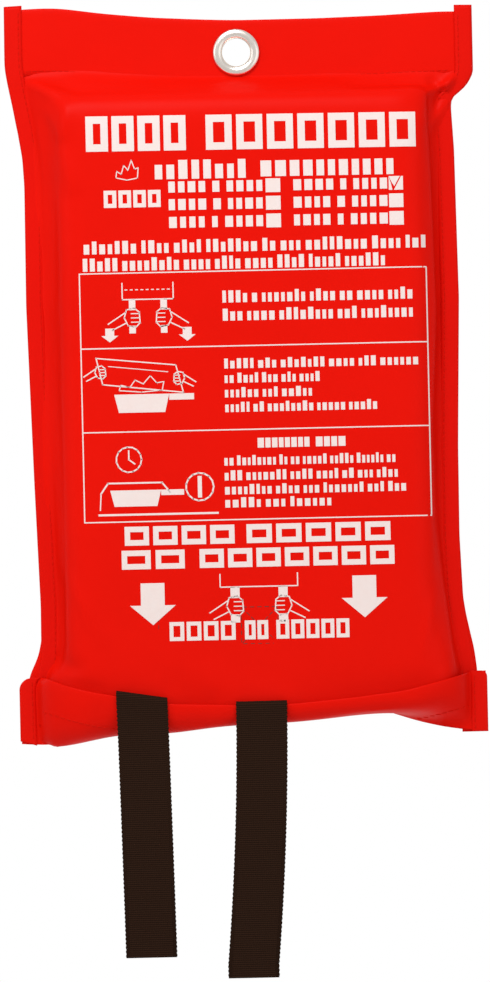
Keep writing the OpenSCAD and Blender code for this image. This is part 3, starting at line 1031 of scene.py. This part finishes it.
def tape_route(x, facts):
    """From the sewn end's top, round under the panel, up over the lip and down to the cut end."""
    rise_y = -FRONT_DEPTH - 1.92 * MM
    fold_z = float(lip_top_z(x)) + facts["over"]
    turn_z = min(facts["sewn"].z + 2.51 * MM, float(lip_top_z(x)) - 2.2 * MM)
    turn_y, turn_r = (SEWN_Y + rise_y) / 2, (SEWN_Y - rise_y) / 2
    fold_y, fold_r = (rise_y + HANGING_Y) / 2, (rise_y - HANGING_Y) / 2
    sewn = [(SEWN_Y, z) for z in np.linspace(facts["sewn_top"], turn_z + 2 * MM, 14)]
    foot_z = facts["low"].z + facts["short"]
    hang = [(HANGING_Y, z) for z in np.linspace(fold_z - 0.5 * MM, foot_z, 240)]
    return np.array(sewn + arc((turn_y, turn_z), turn_r, 0, -180, 11)
                    + arc((fold_y, fold_z), fold_r, 0, 180, 11) + hang)


class FIREBLANKET_OT_pull_tapes(bpy.types.Operator):
    """Two ribbed tapes, each sewn to the blanket and hung over the lip"""
    bl_idname = "fire_blanket.pull_tapes"
    bl_label = "Pull tapes"

    def execute(self, context):
        for (name, facts), middle in zip(TAPES.items(), TAPE_MIDDLES):
            piece = self.tape(name, facts)
            fold_z = float(lip_top_z(middle)) + facts["over"]
            slope = float(lip_top_z(facts["high"].x) - lip_top_z(facts["low"].x)) / sizes().tape_w
            start = Vector((middle, -23.4 * MM, fold_z + 1.1 * MM))
            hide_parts(name + "_tape_sewn_end", name + "_tape_hanging")
            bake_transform(piece)
        return {"FINISHED"}

    def tape(self, name, facts):
        columns = 13
        xs = np.linspace(facts["low"].x, facts["high"].x, columns)
        routes = np.stack([tape_route(x, facts) for x in xs], axis=1)
        shape = np.concatenate([np.broadcast_to(xs[None, :, None], routes.shape[:2] + (1,)),
                                routes], axis=2).copy()
        hanging = shape[..., 1] < -24.2 * MM
        down = np.clip((LIP_SIDE_TOP_Z - 14 * MM - shape[..., 2]) / (130 * MM), 0, 1) * hanging
        first, last = facts["drift"]
        shape[..., 0] += first + (last - first) * down ** facts["curve"]
        scallop = 0.16 * MM * np.sin(shape[..., 2] * 2 * math.pi / (2.1 * MM))
        edge = np.zeros(columns)
        edge[0], edge[-1] = -1, 1
        shape[..., 0] += scallop * edge * hanging
        sway = np.sin(down * math.pi * 1.6) * down
        shape[..., 1] -= 0.9 * MM * sway + 0.25 * MM * np.sin(shape[..., 2] / (9 * MM)) * down
        crown = 1 - ((xs - xs.mean()) / (xs[-1] - xs[0]) * 2) ** 2
        shape[..., 1] -= 0.25 * MM * crown[None, :] * down
        across, along = flat_places(shape)
        piece = lay_cloth(name + "_pull_tape", shape, across, along)
        outward_sheet(piece, Vector((0, -1, 0)))
        thicken_middle(piece, sizes().tape_t)
        finish_piece(piece, material("black_webbing", black_webbing), smooth=50)
        return piece


def thicken_middle(piece, thickness):
    """Gives webbing its thickness on both sides of its middle, with rounded selvedges."""
    thicken(piece, thickness, 0.0)
    apply(piece, "BEVEL", width=0.25 * MM, segments=2, limit_method="ANGLE",
          angle_limit=math.radians(60))


# ---------------------------------------------------------------- folded blanket


def fold_stations(folds, per_side):
    """(side, angle, local) along a cloth: flat runs from -1 to 1 and the half circles between."""
    places = []
    for side in range(folds + 1):
        places += [(side, 0.0, local) for local in np.linspace(-1, 1, per_side)]
        if side < folds:
            places += [(side, angle, 1.0) for angle in np.radians([30, 60, 90])]
            places += [(side + 1, -angle, -1.0) for angle in np.radians([60, 30])]
    return places


def folded_place(place, depth, thickness, half, edges):
    """Place along the fold and depth in the stack of a point that is depth into the cloth."""
    side, angle, local = place
    way = -1 if side % 2 else 1
    own = thickness - depth if side % 2 else depth
    if angle > 0:
        radius = thickness - own
        return (way * (half - edges[side + 1] + radius * math.sin(angle)),
                (side + 1) * thickness - radius * math.cos(angle))
    if angle < 0:
        return (-way * (half - edges[side] + own * math.sin(-angle)),
                side * thickness + own * math.cos(angle))
    first, last = edges[side] - half, half - edges[side + 1]
    return way * (first + (last - first) * (local + 1) / 2) + 0 * depth, side * thickness + own


class FIREBLANKET_OT_folded_blanket(bpy.types.Operator):
    """One square of glass cloth, folded seven ways across and four ways up"""
    bl_idname = "fire_blanket.folded_blanket"
    bl_label = "Folded blanket"

    def execute(self, context):
        low, high = BUNDLE_LOW, BUNDLE_HIGH
        across_folds, up_folds = 6, 3
        pitch = (high.y - low.y) / ((across_folds + 1) * (up_folds + 1))
        strip_t = (across_folds + 1) * pitch
        dice = random.Random(7)
        edge_x = [dice.uniform(0.2, 2.2) * MM for _ in range(across_folds + 2)]
        edge_z = [dice.uniform(0.2, 2.0) * MM for _ in range(up_folds + 2)]
        strip = [folded_place(place, pitch / 2, pitch, (high.x - low.x - pitch) / 2, edge_x)
                 for place in fold_stations(across_folds, 9)]
        x = np.array([point[0] for point in strip])
        depth = np.array([point[1] for point in strip])
        half_z = (high.z - low.z) / 2 - strip_t
        rows = []
        for place in fold_stations(up_folds, 25):
            up, y = folded_place(place, depth, strip_t, half_z, edge_z)
            rows.append(np.stack([x, low.y + y, (low.z + high.z) / 2 + up], axis=1))
        shape = np.array(rows)
        self.round_corners(shape, (low + high) / 2, (high - low) / 2)
        shape[..., 1] += 0.12 * pitch * slack(shape[..., 0], shape[..., 2], 30 * MM)
        piece = lay_cloth("glass_blanket", shape, *flat_places(shape))
        thicken(piece, 0.42 * MM, 0.0)
        finish_piece(piece, material("glass_cloth", glass_cloth), "blanket",
                     ["folded_blanket"])
        return {"FINISHED"}

    def round_corners(self, shape, middle, half):
        """Draws the outer plies in, as the pouch presses them."""
        from_face = (half.y - np.abs(shape[..., 1] - middle.y)) / (8 * MM)
        inset = 6 * MM * np.clip(1 - from_face, 0, 1) ** 2
        for axis in (0, 2):
            shape[..., axis] = (middle[axis] + (shape[..., axis] - middle[axis])
                                * (1 - inset / half[axis]))


# ---------------------------------------------------------------- print


class Print:
    """Flat shapes in X and Z, in millimetres, gathered to be laid on the front panel."""

    def __init__(self):
        self.outlines = []

    def shape(self, points):
        self.outlines.append([(x, z + x * self.slope(z)) for x, z in points])

    def slope(self, z):
        """The top lines of the print run slightly uphill."""
        return -0.007 * min(max(1 - (-z - 30) / 70, 0), 1)

    def bar(self, x0, x1, top, low):
        self.shape([(x0, low), (x1, low), (x1, top), (x0, top)])

    def words(self, x0, x1, top, low, letters, dice, spread=0.5, tall=False):
        """A line of plain blocks as wide as letters, in groups of the given lengths."""
        widths = [[dice.uniform(0.72, 1.12) for _ in range(count)] for count in letters]
        total = sum(sum(word) for word in widths) + spread * sum(c - 1 for c in letters)
        total += 1.0 * (len(letters) - 1)
        unit = (x1 - x0) / total
        x = x0
        for word in widths:
            for width in word:
                height = 1.0 if tall or dice.random() < 0.35 else 0.76
                self.bar(x, x + width * unit, low + (top - low) * height, low)
                x += (width + spread) * unit
            x += (1.0 - spread) * unit

    def title(self, x0, x1, top, low, count, line):
        """Large open blocks, one for each letter of a heading."""
        gap = 0.17
        unit = (x1 - x0) / (count + gap * (count - 1))
        for place in range(count):
            left = x0 + place * (1 + gap) * unit
            right = left + unit
            self.bar(left, left + line, top, low)
            self.bar(right - line, right, top, low)
            self.bar(left + line, right - line, top, top - line)
            self.bar(left + line, right - line, low + line, low)

    def stroke(self, points, width=0.6):
        """A line drawn as one bar per stretch, each run on by half its width."""
        for (x0, z0), (x1, z1) in zip(points, points[1:]):
            run = math.hypot(x1 - x0, z1 - z0)
            ux, uz = (x1 - x0) / run * width / 2, (z1 - z0) / run * width / 2
            x0, z0, x1, z1 = x0 - ux, z0 - uz, x1 + ux, z1 + uz
            self.shape([(x0 + uz, z0 - ux), (x1 + uz, z1 - ux), (x1 - uz, z1 + ux),
                        (x0 - uz, z0 + ux)])

    def ring(self, x, z, radius, width=0.6, first=0, last=360):
        steps = max(4, int((last - first) / 24))
        angles = [math.radians(first + (last - first) * i / steps) for i in range(steps + 1)]
        self.stroke([(x + radius * math.cos(a), z + radius * math.sin(a)) for a in angles], width)

    def arrow(self, x, top, width, height):
        """A thick arrow that points down."""
        shaft, head = width * 0.26, height * 0.53
        self.shape([(x - shaft, top), (x - shaft, top - head), (x - width / 2, top - head),
                    (x, top - height), (x + width / 2, top - head), (x + shaft, top - head),
                    (x + shaft, top)])

    def hand(self, x, z, size, side):
        """A plain mitten closed round a hanging tape, with its forearm running outwards."""
        fist = [(-0.30, 0.42), (0.10, 0.50), (0.36, 0.30), (0.40, -0.25), (0.18, -0.48),
                (-0.22, -0.40), (-0.42, 0.0)]
        self.stroke([(x + side * size * a, z + size * b) for a, b in fist + fist[:1]])
        for level in (0.22, 0.0, -0.22):
            self.stroke([(x - side * size * 0.05, z + size * level),
                         (x + side * size * 0.34, z + size * level)], 0.5)
        wrist = x - side * size * 0.36
        self.stroke([(wrist, z + size * 0.28), (x - side * size * 1.25, z - size * 0.3)])
        self.stroke([(wrist, z - size * 0.28), (x - side * size * 1.05, z - size * 0.62)])

    def pouch(self, x, top, width, height, tape, hand):
        """The pouch's foot with two tapes, and a hand on each."""
        self.stroke([(x - width / 2, top), (x - width / 2, top - height),
                     (x + width / 2, top - height), (x + width / 2, top)])
        for side in (-1, 1):
            tx = x + side * width * 0.31
            foot = top - height
            self.bar(tx - tape / 2, tx + tape / 2, foot, foot - hand * 0.55)
            self.bar(tx - tape / 2, tx + tape / 2, foot - hand * 1.35, foot - hand * 1.75)
            self.hand(tx, foot - hand * 0.95, hand, -side)

    def flame(self, x, low, width, height):
        outline = [(-0.5, 0.12), (-0.46, 0.45), (-0.26, 0.3), (-0.14, 0.75), (0.04, 0.5),
                   (0.2, 1.0), (0.34, 0.55), (0.5, 0.62), (0.46, 0.1), (0.0, 0.0)]
        self.stroke([(x + width * a, low + height * b) for a, b in outline + outline[:1]], 0.5)

    def pan(self, x, low, width, height):
        self.shape([(x - width / 2, low + height), (x - width * 0.42, low),
                    (x + width * 0.42, low), (x + width / 2, low + height)])
        self.bar(x + width / 2, x + width * 0.95, low + height, low + height * 0.66)


def print_layout():
    """The printed panel: plain blocks for its words, frames, arrows and simple pictograms."""
    ink = Print()
    dice = random.Random(11)
    ink.title(-74.7, -25.6, -31.3, -48.5, 4, 3.6)
    ink.title(-15.8, 87.1, -31.3, -48.5, 7, 3.6)
    ink.flame(-54.8, -62.6, 11.0, 9.6)
    ink.words(-41.2, 3.4, -53.2, -62.5, [8], dice)
    ink.words(10.7, 75.9, -54.2, -62.0, [11], dice, 0.4, True)
    ink.title(-66.5, -38.6, -67.6, -76.0, 4, 2.0)
    for row in (-66.4, -75.0, -83.7):
        ink.words(-34.7, 11.4, row + 2.7, row - 2.7, [4, 1, 4], dice, 0.45, True)
        ink.words(26.6, 72.6, row + 2.7, row - 2.7, [4, 1, 4], dice, 0.45, True)
        ink.bar(13.0, 20.2, row + 3.4, row - 3.4)
        if row < -70:
            ink.bar(73.4, 80.4, row + 3.4, row - 3.4)
    # The ticked box, with the tick left unprinted
    ink.shape([(73.4, -63.0), (73.4, -69.8), (75.2, -69.8), (74.5, -66.7)])
    ink.shape([(73.4, -63.0), (75.0, -66.3), (76.1, -68.0), (78.9, -63.0)])
    ink.shape([(80.4, -63.0), (79.5, -63.0), (76.2, -69.2), (75.9, -69.8), (80.4, -69.8)])
    ink.words(-76.9, 90.8, -92.2, -98.5, [7, 4, 4, 7, 2, 3, 8, 4, 3], dice)
    ink.words(-77.5, 70.7, -100.5, -106.9, [5, 8, 4, 4, 4, 4, 5, 6], dice)
    for level in (-108.0, -144.8, -185.9, -230.0):
        ink.stroke([(-79.3, level), (90.9, level)])
    for x in (-79.3, 90.9):
        ink.stroke([(x, -108.0), (x, -230.0)])
    ink.pouch(-46.0, -113.0, 25.0, 8.0, 3.2, 9.5)
    for dash in range(9):
        ink.bar(-57.3 + 2.6 * dash, -55.9 + 2.6 * dash, -116.0, -116.5)
    ink.arrow(-65.0, -135.0, 8.4, 6.8)
    ink.arrow(-27.0, -135.0, 8.4, 6.8)
    ink.words(-9.4, 83.8, -117.6, -123.5, [4, 1, 7, 4, 2, 4, 4], dice)
    ink.words(-9.4, 83.8, -126.5, -132.4, [3, 4, 8, 3, 8], dice)
    ink.pan(-50.0, -176.5, 27.0, 9.0)
    ink.flame(-50.0, -166.5, 22.0, 8.0)
    ink.stroke([(-72.0, -149.5), (-33.0, -153.5), (-29.5, -167.0), (-69.0, -162.5),
                (-72.0, -149.5)])
    ink.stroke([(-66.0, -153.6), (-37.0, -156.8)], 0.4)
    ink.hand(-70.0, -156.5, 6.5, 1)
    ink.hand(-31.5, -160.0, 6.5, -1)
    for x1, middle, letters in ((85.9, -153.4, [5, 3, 7, 4, 3, 6]), (37.4, -160.5, [2, 4, 3, 3, 4]),
                                (33.5, -167.6, [6, 3, 5]), (65.3, -174.8, [5, 2, 8, 5, 5])):
        ink.words(-9.2, x1, middle + 2.45, middle - 2.45, letters, dice)
    ink.pan(-54.0, -222.5, 25.0, 8.0)
    ink.stroke([(-71.0, -216.0), (-67.5, -211.0), (-41.0, -211.0), (-37.0, -216.0)], 0.8)
    ink.stroke([(-71.0, -216.0), (-71.5, -224.0)])
    ink.stroke([(-72.0, -226.5), (-14.0, -226.5)], 1.0)
    ink.ring(-57.0, -199.5, 6.2, 0.7)
    ink.stroke([(-57.0, -195.2), (-57.0, -199.5), (-54.2, -201.6)], 0.7)
    ink.ring(-22.5, -213.5, 6.8, 0.8)
    ink.bar(-23.5, -21.5, -208.2, -218.8)
    ink.words(6.3, 49.4, -190.2, -195.0, [8, 4], dice, 0.22, True)
    for x1, middle, letters in ((73.7, -201.0, [2, 8, 2, 2, 5, 5, 6, 2]),
                                (74.7, -208.3, [3, 7, 4, 4, 2, 3, 4]),
                                (78.6, -215.2, [8, 4, 3, 7, 3, 3]), (41.8, -221.6, [5, 3, 6])):
        ink.words(-10.2, x1, middle + 2.45, middle - 2.45, letters, dice)
    ink.title(-59.9, -6.0, -232.4, -241.7, 4, 2.7)
    ink.title(-0.1, 70.5, -232.4, -241.7, 5, 2.7)
    ink.title(-61.6, -30.7, -244.1, -253.4, 2, 2.7)
    ink.title(-23.4, 72.2, -244.1, -253.4, 7, 2.7)
    ink.arrow(-46.8, -260.3, 22.5, 20.6)
    ink.arrow(57.1, -258.7, 22.5, 20.6)
    ink.pouch(5.4, -256.8, 38.0, 6.2, 4.5, 10.0)
    for x0, x1, count in ((-38.9, -6.5, 4), (-2.0, 9.5, 2), (13.5, 49.3, 5)):
        ink.title(x0, x1, -279.6, -288.9, count, 1.9)
    return ink.outlines


class FIREBLANKET_OT_print(bpy.types.Operator):
    """White print on the front panel: plain blocks, frames, arrows and pictograms"""
    bl_idname = "fire_blanket.print"
    bl_label = "Print"

    def execute(self, context):
        cloth = tree_of(bpy.data.objects["front_panel_cloth"])
        ink = bmesh.new()
        for outline in print_layout():
            twice_area = sum(a[0] * b[1] - b[0] * a[1]
                             for a, b in zip(outline, outline[1:] + outline[:1]))
            if twice_area < 0:
                outline = outline[::-1]
            ink.faces.new([ink.verts.new((x * MM, 0, z * MM)) for x, z in outline])
        # Cut up every 3 mm, so that the ink bends with the cloth
        for axis, places in (((1, 0, 0), range(-80, 96, 3)), ((0, 0, 1), range(-290, -25, 3))):
            for place in places:
                everything = ink.verts[:] + ink.edges[:] + ink.faces[:]
                bmesh.ops.bisect_plane(ink, geom=everything, plane_no=axis, dist=1e-6,
                                       plane_co=[place * MM * a for a in axis])
        bmesh.ops.triangulate(ink, faces=[f for f in ink.faces if len(f.verts) > 4])
        lift = 0.08 * MM
        for vert in ink.verts:
            hit = cloth.ray_cast(Vector((vert.co.x, -0.1, vert.co.z)), Vector((0, 1, 0)))
            vert.co.y = hit[0].y - lift
        deselect()
        bpy.ops.mesh.primitive_plane_add(size=1)
        piece = bpy.context.object
        piece.name = piece.data.name = "printed_panel"
        ink.to_mesh(piece.data)
        ink.free()
        thicken(piece, 0.09 * MM, 1.0)
        finish_piece(piece, material("white_ink", white_ink), "pouch", smooth=40)
        return {"FINISHED"}


# ---------------------------------------------------------------- stitches and eyelet


def one_stitch(length, thickness):
    """A short thread with rounded ends, lying along X, as points and faces."""
    deselect()
    bpy.ops.mesh.primitive_cylinder_add(vertices=6, radius=thickness / 2, depth=length,
                                        rotation=(0, math.radians(90), 0))
    thread = bpy.context.object
    bpy.ops.object.transform_apply(location=True, rotation=True, scale=True)
    bpy.ops.object.mode_set(mode="EDIT")
    bpy.ops.mesh.select_mode(type="FACE")
    bpy.ops.mesh.select_all(action="DESELECT")
    bpy.ops.object.mode_set(mode="OBJECT")
    for face in thread.data.polygons:
        face.select = abs(face.normal.x) > 0.9
    bpy.ops.object.mode_set(mode="EDIT")
    bpy.ops.mesh.inset(thickness=thickness * 0.2)
    bpy.ops.object.mode_set(mode="OBJECT")
    co = points_of(thread)
    inset = np.hypot(co[:, 1], co[:, 2]) < thickness * 0.4
    co[:, 0] *= np.where(inset, 1.0, 1 - thickness / length)
    co[:, 2] -= 0.16 * thickness * (2 * co[:, 0] / length) ** 2
    faces = [tuple(face.vertices) for face in thread.data.polygons]
    bpy.data.objects.remove(thread)
    return co, faces


def sew(name, seat, paths, look_along, pitch, thickness, look):
    """Rows of stitches on a piece; each path is a line of (x, z) points in metres."""
    tree = tree_of(seat)
    stitch, faces = one_stitch(pitch * 0.78, thickness)
    all_points, all_faces = [], []
    for path in paths:
        _, length = by_length(path, 2)
        count = max(2, int(length / pitch))
        spots, _ = by_length(path, 2 * count + 1)
        for i in range(count):
            (x0, z0), (x1, z1) = spots[2 * i], spots[2 * i + 2]
            middle = Vector(((x0 + x1) / 2, 0, (z0 + z1) / 2))
            hit, normal, _, _ = tree.ray_cast(middle - look_along * 0.1, look_along)
            if hit is None:
                continue
            run = Vector((x1 - x0, 0, z1 - z0))
            run = (run - normal * run.dot(normal)).normalized()
            side = normal.cross(run)
            turned = np.array([list(run), list(side), list(normal)])
            centre = np.array(hit + normal * thickness * 0.22)
            all_faces += [[v + len(all_points) * len(stitch) for v in face] for face in faces]
            all_points.append(stitch @ turned + centre)
    deselect()
    bpy.ops.mesh.primitive_plane_add(size=1)
    piece = bpy.context.object
    piece.name = piece.data.name = name
    mesh = bpy.data.meshes.new(name)
    mesh.from_pydata(np.concatenate(all_points).tolist(), [], all_faces)
    piece.data = mesh
    mesh.validate()
    finish_piece(piece, look)
    return piece


class FIREBLANKET_OT_stitches(bpy.types.Operator):
    """Every row of stitches: header, bindings, lip and tapes"""
    bl_idname = "fire_blanket.stitches"
    bl_label = "Stitches"

    def execute(self, context):
        self.header()
        self.sides()
        self.lip()
        self.tapes()
        return {"FINISHED"}

    def rows(self, name, seat, paths, look_along=(0, 1, 0), thread="red_thread"):
        makers = {"red_thread": red_thread, "black_thread": black_thread}
        return sew(name, bpy.data.objects[seat], paths, Vector(look_along), sizes().stitch_pitch,
                   0.5 * MM, material(thread, makers[thread]))

    def header(self):
        half = BAND_HIGH.x - 2 * MM
        line = [(x, SEAM_Z + 0.2 * MM + float(header_lift(x, SEAM_Z)))
                for x in np.linspace(-half, half, 60)]
        front = self.rows("header_stitches_front", "header_band_cloth", [line])
        back = self.rows("header_stitches_back", "header_band_cloth", [line], (0, -1, 0))
        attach(front, "pouch")
        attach(back, "pouch")
        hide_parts("header_stitching")

    def sides(self):
        inset = sizes().binding_w - sizes().stitch_inset
        for side, edge, name in ((-1, LEFT_EDGE, "left"), (1, RIGHT_EDGE, "right")):
            levels = np.linspace(BAND_HIGH.z, LIP_SIDE_BOTTOM_Z + 4 * MM, 120)
            line = []
            for z in levels:
                x = side * (float(edge(z)) - inset)
                line.append((x, z + float(header_lift(x, z))))
            seat = name + "_side_binding_cloth"
            for face, way in (("front", 1), ("back", -1)):
                piece = self.rows(name + "_side_stitches_" + face, seat, [line], (0, way, 0))
                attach(piece, "pouch")
                if face == "front":
                    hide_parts(name + "_binding_stitching")

    def lip(self):
        half = LIP_HALF_W - sizes().binding_w - 2 * MM
        xs = np.linspace(-half, half, 120)
        hem = list(zip(xs + LIP_SHIFT, lip_top_z(xs) - LIP_HEM * 0.93))
        with_lip(self.rows("lip_hem_stitches", "bottom_lip_cloth", [hem]), "lip_hem_stitching")
        seam = list(zip(xs + LIP_SHIFT, lip_bottom_z(xs) - 1.4 * MM))
        with_lip(self.rows("lip_seam_stitches", "bottom_lip_cloth", [seam], (0, -1, 0)),
                 "lip_seam_stitching")
        for side, name in ((-1, "left"), (1, "right")):
            x = side * (LIP_HALF_W - sizes().binding_w + 2.6 * MM) + LIP_SHIFT
            line = [(x, float(lip_top_z(x)) - 1 * MM), (x, LIP_SIDE_BOTTOM_Z + 2 * MM)]
            piece = self.rows("lip_%s_stitches" % name, "lip_%s_binding_cloth" % name, [line])
            with_lip(piece, "lip_%s_stitching" % name)

    def tapes(self):
        for name, facts in TAPES.items():
            x = (facts["low"].x + facts["high"].x) / 2 + facts["drift"][0]
            z = facts["sewn_top"] - 14 * MM
            r = 9 * MM
            corners = [(x - r, z + r), (x + r, z + r), (x + r, z - r), (x - r, z - r)]
            paths = [list(pair) for pair in zip(corners, corners[1:] + corners[:1])]
            paths += [[corners[0], corners[2]], [corners[1], corners[3]]]
            piece = self.rows(name + "_box_stitches", name + "_pull_tape", paths,
                              thread="black_thread")
            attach(piece, "blanket")
            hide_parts(name + "_tape_box_stitch")


class FIREBLANKET_OT_eyelet(bpy.types.Operator):
    """Nickel finish for the clinched eyelet and its washer"""
    bl_idname = "fire_blanket.eyelet"
    bl_label = "Eyelet"

    def execute(self, context):
        for node in ("eyelet", "eyelet_washer"):
            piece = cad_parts[node]
            for slot in piece.material_slots:
                slot.material = material("nickel", nickel)
        return {"FINISHED"}


# ---------------------------------------------------------------- stage


CAMERA_DISTANCE = 4.0
CAMERA_X = -0.0004
CAMERA_Z = -0.2161
CAMERA_ROLL = 1.27
SEEN_HEIGHT = 0.4814
FLOOR_Z = -1.0
FLOOR_SIDE = 5
ROOM_LIGHT = 0.57
LIT_MIDDLE = Vector((0, 0, -0.2))
# Name, place, size and power in watts
LIGHTS = [("key_light", (-0.25, -0.95, 0.75), 0.7, 9.5),
          ("side_light", (-1.3, -0.9, 0.2), 0.9, 1.8),
          ("fill_light", (1.0, -1.4, -0.1), 1.2, 1.8),
          ("back_light", (0.5, 1.6, 0.9), 1.2, 10.0)]


class FIREBLANKET_OT_stage(bpy.types.Operator):
    """Camera, soft lights, white surroundings and a pale floor far below"""
    bl_idname = "fire_blanket.stage"
    bl_label = "Stage"

    def execute(self, context):
        scene = context.scene
        scene.view_settings.view_transform = "Standard"
        self.camera(scene)
        self.lights()
        self.world(scene)
        self.floor()
        return {"FINISHED"}

    def camera(self, scene):
        data = bpy.data.cameras.new("camera")
        camera = bpy.data.objects.new("camera", data)
        scene.collection.objects.link(camera)
        camera.location = (CAMERA_X, FRONT_LOW.y - CAMERA_DISTANCE, CAMERA_Z)
        camera.rotation_euler = (math.radians(90), math.radians(CAMERA_ROLL), 0)
        data.lens = data.sensor_width * CAMERA_DISTANCE / SEEN_HEIGHT
        data.clip_start = 0.05
        scene.camera = camera

    def lights(self):
        for name, place, size, power in LIGHTS:
            data = bpy.data.lights.new(name, "AREA")
            data.shape = "DISK"
            data.size = size
            data.energy = power
            lamp = bpy.data.objects.new(name, data)
            bpy.context.scene.collection.objects.link(lamp)
            lamp.location = place
            aim = LIT_MIDDLE - Vector(place)
            lamp.rotation_euler = aim.to_track_quat("-Z", "Y").to_euler()

    def world(self, scene):
        world = bpy.data.worlds.new("white_room")
        scene.world = world
        world.use_nodes = True
        tree = world.node_tree
        shown = tree.nodes["Background"]
        shown.inputs["Color"].default_value = (1, 1, 1, 1)
        shown.inputs["Strength"].default_value = 1.0
        lighting = tree.nodes.new("ShaderNodeBackground")
        lighting.inputs["Color"].default_value = (1, 1, 1, 1)
        lighting.inputs["Strength"].default_value = ROOM_LIGHT
        rays = tree.nodes.new("ShaderNodeLightPath")
        mix = tree.nodes.new("ShaderNodeMixShader")
        tree.links.new(rays.outputs["Is Camera Ray"], mix.inputs[0])
        tree.links.new(lighting.outputs[0], mix.inputs[1])
        tree.links.new(shown.outputs[0], mix.inputs[2])
        tree.links.new(mix.outputs[0], tree.nodes["World Output"].inputs["Surface"])

    def floor(self):
        deselect()
        bpy.ops.mesh.primitive_plane_add(size=FLOOR_SIDE, location=(0, 0, FLOOR_Z))
        floor = bpy.context.object
        floor.name = "floor"
        shader = Shader("pale_floor", Roughness=0.8)
        shader.feed("Base Color", shader.blend(shader.noise(2.0), (0.86, 0.86, 0.85, 1),
                                               (0.90, 0.90, 0.89, 1)))
        floor.data.materials.append(shader.material)


# ---------------------------------------------------------------- panel and registration


STEPS = ["stage", "front_panel", "back_panel", "header_band", "side_bindings", "bottom_lip",
         "pull_tapes", "folded_blanket", "print", "stitches", "eyelet"]


class FIREBLANKET_PT_panel(bpy.types.Panel):
    """Lists the pieces in the order they are built"""
    bl_idname = "FIREBLANKET_PT_panel"
    bl_label = "Fire Blanket"
    bl_space_type = "VIEW_3D"
    bl_region_type = "UI"
    bl_category = "Fire Blanket"

    def draw(self, context):
        for group in (sizes(), colours()):
            for name in group.__annotations__:
                self.layout.prop(group, name)
        for step in STEPS:
            self.layout.operator("fire_blanket." + step)


CLASSES = [FireBlanketSizes, FireBlanketColours, FIREBLANKET_OT_stage,
           FIREBLANKET_OT_front_panel, FIREBLANKET_OT_back_panel, FIREBLANKET_OT_header_band,
           FIREBLANKET_OT_side_bindings, FIREBLANKET_OT_bottom_lip, FIREBLANKET_OT_pull_tapes,
           FIREBLANKET_OT_folded_blanket, FIREBLANKET_OT_print, FIREBLANKET_OT_stitches,
           FIREBLANKET_OT_eyelet, FIREBLANKET_PT_panel]


def register():
    for cls in CLASSES:
        bpy.utils.register_class(cls)
    bpy.types.Scene.fire_blanket_sizes = bpy.props.PointerProperty(type=FireBlanketSizes)
    bpy.types.Scene.fire_blanket_colours = bpy.props.PointerProperty(type=FireBlanketColours)


def unregister():
    del bpy.types.Scene.fire_blanket_colours
    del bpy.types.Scene.fire_blanket_sizes
    for cls in reversed(CLASSES):
        bpy.utils.unregister_class(cls)


def main():
    register()
    for step in STEPS:
        getattr(bpy.ops.fire_blanket, step)()


if __name__ == "__main__":
    main()
